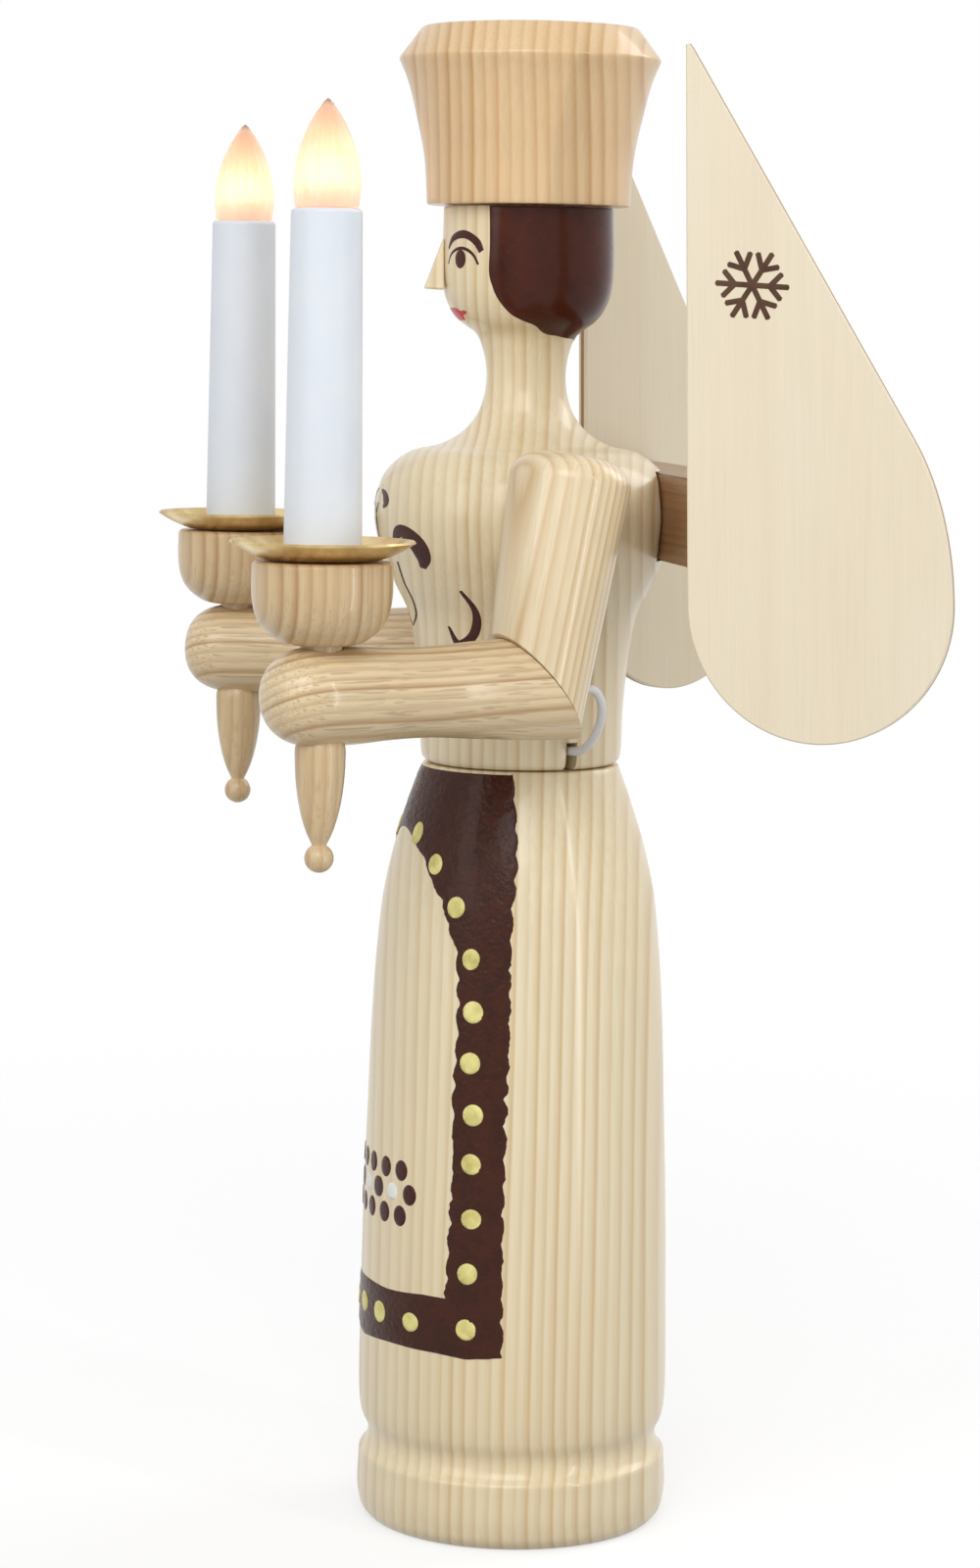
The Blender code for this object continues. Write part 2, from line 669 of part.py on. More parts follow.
def open_loop(start, start_way, end, end_way, count=9):
    """Return the points of a slack curve that leaves start and enters end in given directions."""
    reach = (end - start).length * 0.75
    first = start + (start_way + Vector((0.0, 0.0, -0.35))).normalized() * reach * 0.45
    second = end - end_way * reach * 0.5
    points = []
    for number in range(count):
        share = number / (count - 1)
        rest = 1 - share
        points.append(
            start * rest ** 3 + first * 3 * rest ** 2 * share
            + second * 3 * rest * share ** 2 + end * share ** 3
        )
    return points


def lead(name, route, collection, look):
    """Return a round lead along a route, as a closed mesh."""
    curve = bpy.data.curves.new(name, "CURVE")
    curve.dimensions = "3D"
    curve.bevel_depth = LEAD_RADIUS
    curve.bevel_resolution = 2
    curve.use_fill_caps = True
    spline = curve.splines.new("POLY")
    spline.points.add(len(route) - 1)
    for point, place in zip(spline.points, route):
        point.co = (*place, 1.0)
    guide = bpy.data.objects.new(name + "_line", curve)
    collection.objects.link(guide)
    return mesh_from(guide, name, collection, look)


def build_body(parts, cutters):
    """Build the skirt, its cover and terminal block, the torso, the nose and the hat."""
    skirt = turned("skirt", skirt_profile(), parts, (WOOD_BODY, 0.35), closed=True)
    outlet = rod(
        "outlet_hole", (0.0, POCKET_RADIUS * 0.6, OUTLET_HEIGHT), (0.0, FOOT_RADIUS * 1.2, OUTLET_HEIGHT),
        OUTLET_RADIUS, cutters,
    )
    boolean(skirt, [as_cutter(outlet)])
    rod(
        "base_cover", (0.0, 0.0, 0.0), (0.0, 0.0, COVER_THICKNESS), COVER_RADIUS, parts,
        (PLYWOOD, 0.6), SKIRT_STEPS,
    )
    torso = turned("torso", torso_profile(), parts, (WOOD_BODY, 0.35), TORSO_STEPS)
    boolean(torso, torso_cutters(cutters))
    turned("hat", hat_profile(), parts, (WOOD_HAT, 0.35), TORSO_STEPS)
    build_nose(parts)
    build_terminal(parts, cutters)


def torso_cutters(cutters):
    """Return the tools for the torso's channels, dowel holes and the wing block's housing."""
    tools = []
    housing_size = (CHEST_RADIUS * 2.2, CHEST_RADIUS, BLOCK_HEIGHT + 2 * GAP)
    housing = block("housing", housing_size, cutters)
    housing.location = (0.0, WING_BACK + housing_size[1] / 2, BLOCK_BOTTOM + BLOCK_HEIGHT / 2)
    tools.append(as_cutter(housing))
    for name, side in SIDES.items():
        reach = WAIST_RADIUS * 1.5
        depth = CHANNEL_HEIGHT + 0.001
        channel = block(f"channel_{name}", (reach, CHANNEL_WIDTH, depth), cutters)
        channel.rotation_euler = (0.0, 0.0, CHANNEL_ANGLE * side)
        middle = (reach / 2 + LEAD_BORE_RADIUS * 0.5) * side
        channel.location = (
            middle * math.cos(CHANNEL_ANGLE), abs(middle) * math.sin(CHANNEL_ANGLE),
            TORSO_BOTTOM + CHANNEL_HEIGHT - depth / 2 - 0.00005,
        )
        tools.append(as_cutter(channel))
        start, end = shoulder_dowel_ends(side, GAP)
        tools.append(as_cutter(rod(f"torso_shoulder_hole_{name}", start, end, shoulder_hole(), cutters)))
    start, end = wing_dowel_ends(GAP)
    tools.append(as_cutter(rod("torso_wing_hole", start, end, WING_DOWEL_RADIUS + GAP, cutters)))
    return tools


def shoulder_hole():
    """Return the radius of the holes for a shoulder dowel."""
    return SHOULDER_DOWEL_RADIUS + GAP


def shoulder_dowel_ends(side, spare=0.0):
    """Return a shoulder dowel's two ends, with spare length for its hole."""
    share = (SHOULDER.z - SHOULDER_DOWEL_HEIGHT) / (SHOULDER.z - ELBOW.z)
    place = SHOULDER.lerp(ELBOW, share)
    inner = CHEST_RADIUS - SHOULDER_DOWEL_DEPTH - spare
    outer = CHEST_RADIUS + SHOULDER_DOWEL_DEPTH + spare
    return (
        Vector((inner * side, place.y, SHOULDER_DOWEL_HEIGHT)),
        Vector((outer * side, place.y, SHOULDER_DOWEL_HEIGHT)),
    )


def wing_dowel_ends(spare=0.0):
    """Return the wing dowel's two ends, with spare length for its hole."""
    height = BLOCK_BOTTOM + BLOCK_HEIGHT / 2
    return (
        Vector((0.0, WING_BACK - WING_DOWEL_DEPTH - spare, height)),
        Vector((0.0, WING_BACK + WING_DOWEL_DEPTH + spare, height)),
    )


def build_nose(parts):
    """Build the wedge on the face."""
    outline = [
        (0.0, 0.0), (NOSE_REACH - 0.0003, NOSE_DROP * 0.75), (NOSE_REACH, NOSE_DROP * 1.2), (0.0, NOSE_HEIGHT),
    ]
    ahead = Vector((0.0, -1.0, 0.0))
    up = Vector((0.0, 0.0, 1.0))
    placing = Matrix((ahead, up, ahead.cross(up))).transposed().to_4x4()
    placing.translation = (0.0, -(HEAD_RADIUS + GAP), NOSE_BOTTOM)
    plate("nose", outline, NOSE_WIDTH, placing, parts, (WOOD_BODY, 0.4))


def build_terminal(parts, cutters):
    """Build the terminal block on the cover, with holes for the leads' cores."""
    low = COVER_THICKNESS + GAP
    terminal = block("terminal_block", (TERMINAL_LENGTH, TERMINAL_DEPTH, TERMINAL_HEIGHT), parts,
                     (TERMINAL_CREAM, 0.5))
    terminal.location = (0.0, 0.0, low + TERMINAL_HEIGHT / 2)
    floor = low + TERMINAL_HEIGHT - TERMINAL_HOLE_DEPTH
    holes = []
    for name, side in SIDES.items():
        x = TERMINAL_PITCH / 2 * side
        hole = rod(f"terminal_hole_{name}", (x, 0.0, floor), (x, 0.0, floor + TERMINAL_HOLE_DEPTH * 2),
                   TERMINAL_HOLE_RADIUS, cutters, sides=12)
        holes.append(as_cutter(hole))
    boolean(terminal, holes)


def build_arm(name, side, parts, cutters):
    """Build one upper arm, its dowel, its forearm and the finial under the hand."""
    shoulder, elbow = mirrored(SHOULDER, side), mirrored(ELBOW, side)
    candle = candle_axis(side)
    ahead = hand_direction(side)
    upper = turned(f"upper_arm_{name}", upper_arm_profile(), parts, (WOOD_BODY, 0.35), ARM_STEPS)
    upper.rotation_euler = (shoulder - elbow).to_track_quat("Z", "Y").to_euler()
    upper.location = shoulder
    body_round = [(0.0, HEAD_TOP), *torso_outline(GAP), (0.0, TORSO_BOTTOM)]
    body_tool = as_cutter(turned(f"body_round_{name}", body_round, cutters, steps=TORSO_STEPS))
    bore_start = Vector((candle.x, candle.y, FOREARM_LEVEL))
    bore_end = elbow - ahead * ELBOW_RADIUS * 2
    bore = as_cutter(rod(f"arm_bore_{name}", bore_start, bore_end, ARM_BORE_RADIUS, cutters, sides=12))
    start, end = shoulder_dowel_ends(side, GAP)
    dowel_hole = as_cutter(rod(f"arm_shoulder_hole_{name}", start, end, shoulder_hole(), cutters))
    boolean(upper, [mitre_box(f"mitre_front_{name}", side, True, cutters), body_tool, bore, dowel_hole])
    start, end = shoulder_dowel_ends(side)
    rod(f"shoulder_dowel_{name}", start, end, SHOULDER_DOWEL_RADIUS, parts, (WOOD_ARM, 0.6))

    forearm = turned(f"forearm_{name}", forearm_profile(), parts, (WOOD_ARM, 0.4), ARM_STEPS)
    forearm.rotation_euler = ahead.to_track_quat("Z", "Y").to_euler()
    forearm.location = bore_start
    riser = rod(f"riser_{name}", bore_start, bore_start + Vector((0.0, 0.0, HAND_RADIUS * 1.5)),
                ARM_BORE_RADIUS, cutters, sides=12)
    seat_floor = Vector((candle.x, candle.y, CUP_BOTTOM - CUP_TENON_LENGTH - GAP))
    seat_top = seat_floor + Vector((0.0, 0.0, CUP_TENON_LENGTH * 2))
    seat = rod(f"cup_socket_{name}", seat_floor, seat_top, CUP_TENON_RADIUS + GAP, cutters)
    finial_roof = Vector((candle.x, candle.y, FINIAL_TOP + FINIAL_TENON_LENGTH + GAP))
    finial_low = finial_roof - Vector((0.0, 0.0, FINIAL_TENON_LENGTH * 2))
    finial_seat = rod(f"finial_socket_{name}", finial_low, finial_roof, FINIAL_TENON_RADIUS + GAP, cutters)
    tools = [as_cutter(riser), as_cutter(seat), as_cutter(finial_seat), bore]
    boolean(forearm, [mitre_box(f"mitre_back_{name}", side, False, cutters), *tools])
    finial = turned(f"bottom_finial_{name}", finial_profile(), parts, (WOOD_CUP, 0.4), FINIAL_STEPS)
    finial.location = candle


def build_candle(name, side, parts):
    """Build one candle: cup, drip plate, sleeve, lamp holder and bulb."""
    stack = (
        ("candle_cup", cup_profile(), (WOOD_CUP, 0.4), CUP_STEPS, True),
        ("drip_plate", drip_plate_profile(), (BRASS, 0.3, 1.0), PLATE_STEPS, True),
        ("candle_sleeve", sleeve_profile(), (SLEEVE_WHITE, 0.35), BULB_STEPS, True),
        ("lamp_holder", holder_profile(), (LEAD_WHITE, 0.5), BULB_STEPS, True),
        ("bulb", bulb_profile(), (GLASS_LIT, 0.15), BULB_STEPS, False),
    )
    for piece, profile, look, steps, closed in stack:
        made = turned(f"{piece}_{name}", profile, parts, look, steps, closed)
        made.location = candle_axis(side)


def build_wings(parts, cutters):
    """Build the wing block, its dowel and the two wings."""
    placing = Matrix.Translation((0.0, 0.0, BLOCK_BOTTOM + BLOCK_HEIGHT / 2))
    carrier = plate("wing_block", block_outline(), BLOCK_HEIGHT, placing, parts, (WOOD_BLOCK, 0.5))
    start, end = wing_dowel_ends(GAP)
    boolean(carrier, [as_cutter(rod("block_wing_hole", start, end, WING_DOWEL_RADIUS + GAP, cutters))])
    start, end = wing_dowel_ends()
    rod("wing_dowel", start, end, WING_DOWEL_RADIUS, parts, (WOOD_ARM, 0.6))
    for name, side in SIDES.items():
        plate(f"wing_{name}", wing_outline(), WING_THICKNESS, wing_placing(side), parts, (PLYWOOD, 0.4))


def main():
    """Build the whole figure."""
    clear_scene()
    parts = new_collection(COLLECTION)
    cutters = new_collection("cutters")
    build_body(parts, cutters)
    build_wings(parts, cutters)
    for name, side in SIDES.items():
        build_arm(name, side, parts, cutters)
        build_candle(name, side, parts)
        lead(f"lamp_lead_{name}", lead_route(side), parts, (LEAD_WHITE, 0.4))


main()
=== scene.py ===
"""Looks of the light-up angel figure: turned wood, brush paint, plywood wings and lit candle lamps."""
import logging
import math
from collections import Counter
from dataclasses import dataclass, field
from enum import Enum
from typing import Callable, Optional, Sequence, Union

import bmesh
import bpy
import numpy as np
from mathutils import Matrix, Vector, noise
from mathutils.geometry import delaunay_2d_cdt


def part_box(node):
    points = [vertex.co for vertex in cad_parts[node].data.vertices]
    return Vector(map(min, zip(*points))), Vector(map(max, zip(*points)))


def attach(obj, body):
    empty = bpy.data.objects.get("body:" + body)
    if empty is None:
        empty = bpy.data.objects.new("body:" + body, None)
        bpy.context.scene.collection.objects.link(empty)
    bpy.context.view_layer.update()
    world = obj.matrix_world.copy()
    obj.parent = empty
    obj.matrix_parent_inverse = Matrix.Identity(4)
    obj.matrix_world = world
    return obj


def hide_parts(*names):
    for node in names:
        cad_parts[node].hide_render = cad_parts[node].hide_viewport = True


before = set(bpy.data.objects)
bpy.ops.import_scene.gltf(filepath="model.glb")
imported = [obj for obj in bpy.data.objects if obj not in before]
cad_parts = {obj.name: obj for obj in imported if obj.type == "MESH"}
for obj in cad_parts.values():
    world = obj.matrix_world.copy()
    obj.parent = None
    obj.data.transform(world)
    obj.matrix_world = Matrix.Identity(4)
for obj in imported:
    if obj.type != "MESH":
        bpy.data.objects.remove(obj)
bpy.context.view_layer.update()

BODY = "root"
LOG = logging.getLogger("angel")
SIDES = {"left": 1.0, "right": -1.0}
UP = Vector((0.0, 0.0, 1.0))

# The clearance between pieces, and the joints of the figure's left arm, in metres.
FIT = 0.0003
SHOULDER = Vector((0.0400, 0.0025, 0.2406))
ELBOW = Vector((0.0445, -0.0063, 0.1909))

# The angle beyond which an edge stays sharp, in degrees.
SHARP = 40.0

Point = tuple[float, float]
Colour = tuple[float, float, float]
Value = Union[float, bpy.types.NodeSocket]


def srgb(red: float, green: float, blue: float) -> Colour:
    """Turn an 8-bit display colour into the linear colour that a shader takes.

    Args:
        red, green, blue: display values from 0 to 255.

    Returns:
        The three linear values.
    """
    def channel(value: float) -> float:
        """Return one linear channel."""
        share = value / 255.0
        return share / 12.92 if share <= 0.04045 else ((share + 0.055) / 1.055) ** 2.4

    return channel(red), channel(green), channel(blue)


class Graph:
    """A short way to lay out the nodes of one material."""

    def __init__(self, name: str) -> None:
        """Start a Principled material of that name."""
        self.material = bpy.data.materials.new(name)
        self.material.use_nodes = True
        self.tree = self.material.node_tree
        self.shader = self.tree.nodes["Principled BSDF"]
        self.output = self.tree.nodes["Material Output"]
        coordinates = self.tree.nodes.new("ShaderNodeTexCoord")
        self.place = coordinates.outputs["Object"]

    def feed(self, socket: bpy.types.NodeSocket, value: Union[Value, Sequence[float]]) -> None:
        """Link or set a socket.

        Args:
            socket: the input to feed.
            value: a socket to link, or a constant.
        """
        if isinstance(value, bpy.types.NodeSocket):
            self.tree.links.new(value, socket)
        else:
            socket.default_value = value

    def math(self, operation: str, first: Value, second: Value = 0.0) -> bpy.types.NodeSocket:
        """Return the result of a Math node.

        Args:
            operation: the node's operation name.
            first, second: sockets or numbers.

        Returns:
            The node's output socket.
        """
        node = self.tree.nodes.new("ShaderNodeMath")
        node.operation = operation
        self.feed(node.inputs[0], first)
        self.feed(node.inputs[1], second)
        return node.outputs[0]

    def vector(self, operation: str, first: Union[Value, Sequence[float]],
               second: Union[Value, Sequence[float]] = (0.0, 0.0, 0.0)) -> bpy.types.NodeSocket:
        """Return the vector result of a Vector Math node.

        Args:
            operation: the node's operation name.
            first, second: sockets or vectors.

        Returns:
            The node's vector output, or its number where it measures a length.
        """
        node = self.tree.nodes.new("ShaderNodeVectorMath")
        node.operation = operation
        self.feed(node.inputs[0], first)
        self.feed(node.inputs[1], second)
        return node.outputs["Value"] if operation in ("LENGTH", "DOT_PRODUCT") else node.outputs["Vector"]

    def noise(self, place: bpy.types.NodeSocket, scale: float, detail: float = 2.0,
              colour: bool = False) -> bpy.types.NodeSocket:
        """Return a noise at a scale, as a number or a colour.

        Args:
            place: the coordinates.
            scale: how many features fit in a metre.
            detail: octaves of finer noise.
            colour: True for three separate noises.

        Returns:
            The noise socket.
        """
        node = self.tree.nodes.new("ShaderNodeTexNoise")
        node.inputs["Scale"].default_value = scale
        node.inputs["Detail"].default_value = detail
        self.feed(node.inputs["Vector"], place)
        return node.outputs["Color" if colour else "Fac"]

    def ramp(self, value: Value, stops: Sequence[tuple[float, Union[float, Colour]]]) -> bpy.types.NodeSocket:
        """Return a number or a colour read from a curve.

        Args:
            value: where on the curve to read, from 0 to 1.
            stops: the curve's places, each with its number or colour.

        Returns:
            The socket of what was read.
        """
        node = self.tree.nodes.new("ShaderNodeValToRGB")
        while len(node.color_ramp.elements) < len(stops):
            node.color_ramp.elements.new(0.5)
        for element, (place, level) in zip(node.color_ramp.elements, stops):
            element.position = place
            element.color = (*level, 1.0) if isinstance(level, tuple) else (level, level, level, 1.0)
        self.feed(node.inputs["Fac"], value)
        return node.outputs["Color"]

    def mix(self, share: Value, first: Union[Value, Colour], second: Union[Value, Colour],
            blend: str = "MIX") -> bpy.types.NodeSocket:
        """Return a mix of two colours.

        Args:
            share: how much of the second.
            first, second: colours or sockets.
            blend: the Mix node's blend type.

        Returns:
            The colour socket.
        """
        node = self.tree.nodes.new("ShaderNodeMix")
        node.data_type = "RGBA"
        node.blend_type = blend
        self.feed(node.inputs[0], share)
        for socket, value in ((node.inputs[6], first), (node.inputs[7], second)):
            self.feed(socket, (*value, 1.0) if isinstance(value, tuple) else value)
        return node.outputs[2]

    def bump(self, height: bpy.types.NodeSocket, strength: float, distance: float) -> None:
        """Give the shader a bump.

        Args:
            height: the socket that is read as height.
            strength: how much of it shows, from 0 to 1.
            distance: its depth in metres.
        """
        node = self.tree.nodes.new("ShaderNodeBump")
        node.inputs["Strength"].default_value = strength
        node.inputs["Distance"].default_value = distance
        self.feed(node.inputs["Height"], height)
        self.feed(self.shader.inputs["Normal"], node.outputs["Normal"])

    def constant(self, name: str, value: float) -> None:
        """Set a number on the shader's own socket."""
        self.shader.inputs[name].default_value = value

    def into(self, name: str, value: bpy.types.NodeSocket) -> None:
        """Link a socket to the shader's input of that name."""
        self.feed(self.shader.inputs[name], value)


class Along(Enum):
    """The local axis that a wooden piece's grain runs along."""

    X = (0.0, -math.pi / 2, 0.0)
    Y = (math.pi / 2, 0.0, 0.0)
    Z = (0.0, 0.0, 0.0)


@dataclass(frozen=True)
class WoodFinish:
    """Varnished wood with growth rings, fibres and pores.

    Sizes are metres; the pith is where the log's middle lies, across the grain.
    """

    name: str
    light: Colour
    dark: Colour
    ring: float = 0.0027
    pith: Point = (-0.10, -0.34)
    along: Along = Along.Z
    contrast: float = 1.0
    wander: float = 0.004
    streaks: float = 0.55
    pores: float = 0.0
    roughness: float = 0.36
    coat: float = 0.40
    relief: float = 0.10
    fibre_scale: float = 1500.0
    cloud_scale: float = 45.0
    pore_scale: float = 2300.0
    bump_depth: float = 0.0004

    def material(self) -> bpy.types.Material:
        """Return the finish as a node material."""
        graph = Graph(self.name)
        turn = graph.tree.nodes.new("ShaderNodeMapping")
        turn.inputs["Rotation"].default_value = self.along.value
        graph.feed(turn.inputs["Vector"], graph.place)
        place = turn.outputs["Vector"]
        share, strength = self.rings(graph, place)
        line = graph.ramp(share, ((0.0, 0.04), (0.28, 0.10), (0.55, 0.50), (0.80, 1.0), (1.0, 0.08)))
        weight = graph.math("MULTIPLY_ADD", strength, 0.65)
        weight.node.inputs[2].default_value = 0.35
        amount = graph.math("MULTIPLY", graph.math("MULTIPLY", line, weight), self.contrast)
        fibre = graph.noise(graph.vector("MULTIPLY", place, (1.0, 1.0, 0.02)), self.fibre_scale, 3.0)
        cloud = graph.noise(graph.vector("MULTIPLY", place, (1.0, 1.0, 0.25)), self.cloud_scale, 3.0)
        colour = graph.mix(amount, self.light, self.dark)
        shade = graph.ramp(fibre, ((0.30, 0.86), (0.70, 1.0)))
        colour = graph.mix(self.streaks, colour, shade, "MULTIPLY")
        colour = graph.mix(graph.ramp(cloud, ((0.35, 0.0), (0.75, 0.22))), colour, self.dark)
        height = graph.math("MULTIPLY", fibre, 0.6)
        if self.pores > 0.0:
            dash = graph.noise(graph.vector("MULTIPLY", place, (1.0, 1.0, 0.022)), self.pore_scale, 1.0)
            early = graph.ramp(share, ((0.0, 1.0), (0.35, 0.9), (0.6, 0.25), (1.0, 0.6)))
            pore = graph.math("MULTIPLY", graph.ramp(dash, ((0.56, 0.0), (0.64, 1.0))), early)
            colour = graph.mix(graph.math("MULTIPLY", pore, self.pores), colour, self.pore_colour())
            height = graph.math("SUBTRACT", height, graph.math("MULTIPLY", pore, 0.9))
        height = graph.math("SUBTRACT", height, graph.math("MULTIPLY", line, 0.25))
        graph.into("Base Color", colour)
        graph.bump(height, self.relief, self.bump_depth)
        graph.into("Roughness",
                   graph.ramp(fibre, ((0.2, self.roughness - 0.05), (0.8, self.roughness + 0.08))))
        graph.constant("Coat Weight", self.coat)
        graph.constant("Coat Roughness", 0.12)
        graph.constant("Specular IOR Level", 0.4)
        return graph.material

    def rings(self, graph: Graph, place: bpy.types.NodeSocket) -> tuple:
        """Return where each point lies in its growth ring.

        Args:
            graph: the material's nodes.
            place: the coordinates, with the grain along Z.

        Returns:
            The share of the way through the ring, and that ring's strength.
        """
        drift = graph.noise(graph.vector("MULTIPLY", place, (1.0, 1.0, 0.18)), 16.0, 2.0, colour=True)
        drift = graph.vector("SUBTRACT", drift, (0.5, 0.5, 0.5))
        moved = graph.vector("ADD", place, graph.vector("MULTIPLY", drift, (self.wander * 2,) * 3))
        away = graph.vector("SUBTRACT", moved, (*self.pith, 0.0))
        distance = graph.vector("LENGTH", graph.vector("MULTIPLY", away, (1.0, 1.0, 0.0)))
        phase = graph.math("DIVIDE", distance, self.ring)
        strength = graph.tree.nodes.new("ShaderNodeTexWhiteNoise")
        strength.noise_dimensions = "1D"
        graph.feed(strength.inputs["W"], graph.math("FLOOR", phase))
        return graph.math("FRACT", phase), strength.outputs["Value"]

    def pore_colour(self) -> Colour:
        """Return the colour in the open pores."""
        return tuple(channel * 0.62 for channel in self.dark)


@dataclass(frozen=True)
class PaintFinish:
    """Brushed-on paint: satin, with slight unevenness and, for the apron, a pebbled skin."""

    name: str
    colour: Colour
    worn: Colour
    pebble: float = 0.0
    roughness: float = 0.30
    relief: float = 0.12

    def material(self) -> bpy.types.Material:
        """Return the finish as a node material."""
        graph = Graph(self.name)
        cloud = graph.noise(graph.place, 260.0, 4.0)
        colour = graph.mix(graph.ramp(cloud, ((0.40, 0.0), (0.80, 1.0))), self.colour, self.worn)
        graph.into("Base Color", colour)
        fine = graph.noise(graph.place, 900.0, 3.0)
        graph.bump(fine, self.relief + 0.6 * self.pebble, 0.0004)
        graph.into("Roughness",
                   graph.ramp(fine, ((0.3, self.roughness - 0.06), (0.7, self.roughness + 0.08))))
        graph.constant("Specular IOR Level", 0.15)
        graph.constant("Coat Weight", 0.10)
        graph.constant("Coat Roughness", 0.15)
        return graph.material


@dataclass(frozen=True)
class BrassFinish:
    """Thin pressed brass, slightly dull, with a warm darker tone in its marks."""

    name: str = "pressed_brass"
    bright: Colour = srgb(224, 202, 150)
    dull: Colour = srgb(176, 144, 86)

    def material(self) -> bpy.types.Material:
        """Return the finish as a node material."""
        graph = Graph(self.name)
        cloud = graph.noise(graph.place, 140.0, 4.0)
        graph.into("Base Color",
                   graph.mix(graph.ramp(cloud, ((0.35, 0.0), (0.70, 1.0))), self.bright, self.dull))
        fine = graph.noise(graph.place, 1500.0, 2.0)
        graph.into("Roughness", graph.ramp(cloud, ((0.3, 0.24), (0.7, 0.40))))
        graph.bump(fine, 0.08, 0.0003)
        graph.constant("Metallic", 1.0)
        return graph.material


@dataclass(frozen=True)
class PlasticFinish:
    """Moulded plastic with a faint skin texture."""

    name: str
    colour: Colour
    shade: Colour
    roughness: float = 0.42
    glow: float = 0.0

    def material(self) -> bpy.types.Material:
        """Return the finish as a node material."""
        graph = Graph(self.name)
        cloud = graph.noise(graph.place, 70.0, 2.0)
        graph.into("Base Color",
                   graph.mix(graph.ramp(cloud, ((0.3, 0.0), (0.7, 1.0))), self.colour, self.shade))
        skin = graph.noise(graph.place, 1800.0, 2.0)
        graph.bump(skin, 0.05, 0.0002)
        graph.into("Roughness",
                   graph.ramp(skin, ((0.2, self.roughness - 0.04), (0.8, self.roughness + 0.04))))
        graph.constant("Subsurface Weight", self.glow)
        graph.shader.inputs["Subsurface Radius"].default_value = (0.004, 0.003, 0.002)
        return graph.material


@dataclass(frozen=True)
class LampFinish:
    """What the finishes of a lit bulb share: each is set out up the bulb's height."""

    name: str
    foot: float
    height: float

    def share(self, graph: Graph) -> bpy.types.NodeSocket:
        """Return each point's share of the way from the bulb's foot to its tip."""
        split = graph.tree.nodes.new("ShaderNodeSeparateXYZ")
        graph.feed(split.inputs[0], graph.place)
        return graph.math("DIVIDE", graph.math("SUBTRACT", split.outputs[2], self.foot), self.height)


@dataclass(frozen=True)
class LitGlassFinish(LampFinish):
    """The lit bulb's ribbed glass: peach, with a small brownish tip."""

    def material(self) -> bpy.types.Material:
        """Return the finish as a node material, with its colours set out up the bulb's height."""
        graph = Graph(self.name)
        share = self.share(graph)
        colour = graph.ramp(share, (
            (0.0, srgb(246, 206, 186)), (0.16, srgb(250, 214, 192)), (0.42, srgb(252, 222, 196)),
            (0.72, srgb(244, 212, 184)), (0.93, srgb(230, 200, 176)), (1.0, srgb(140, 122, 112)),
        ))
        cloud = graph.noise(graph.vector("MULTIPLY", graph.place, (1.0, 1.0, 0.3)), 500.0, 2.0)
        tint = graph.mix(graph.ramp(cloud, ((0.35, 0.0), (0.75, 0.35))), colour, srgb(238, 190, 160))
        graph.into("Base Color", tint)
        graph.into("Emission Color", tint)
        graph.into("Emission Strength",
                   graph.ramp(share, ((0.0, 0.30), (0.25, 0.42), (0.6, 0.30), (1.0, 0.08))))
        graph.into("Roughness", graph.ramp(cloud, ((0.3, 0.10), (0.7, 0.18))))
        graph.constant("Transmission Weight", 0.6)
        graph.constant("IOR", 1.25)
        return graph.material


@dataclass(frozen=True)
class GlowFinish(LampFinish):
    """The glow inside the glass: white-hot at its middle, yellowish above and pinkish below."""

    def material(self) -> bpy.types.Material:
        """Return the finish as a node material, with its colours set out up the bulb's height."""
        graph = Graph(self.name)
        share = self.share(graph)
        colour = graph.ramp(share, (
            (0.0, srgb(255, 206, 176)), (0.15, srgb(255, 216, 184)), (0.22, srgb(255, 248, 228)),
            (0.46, srgb(255, 250, 232)), (0.54, srgb(255, 232, 186)), (0.9, srgb(250, 216, 170)),
        ))
        cloud = graph.noise(graph.place, 300.0, 2.0)
        tint = graph.mix(graph.ramp(cloud, ((0.3, 0.0), (0.8, 0.3))), colour, srgb(255, 224, 180))
        graph.into("Base Color", tint)
        graph.into("Emission Color", tint)
        graph.into("Emission Strength",
                   graph.ramp(share, ((0.0, 0.15), (0.16, 0.25), (0.24, 0.9),
                                      (0.40, 0.9), (0.50, 0.3), (0.9, 0.12))))
        graph.constant("Roughness", 0.6)
        return graph.material


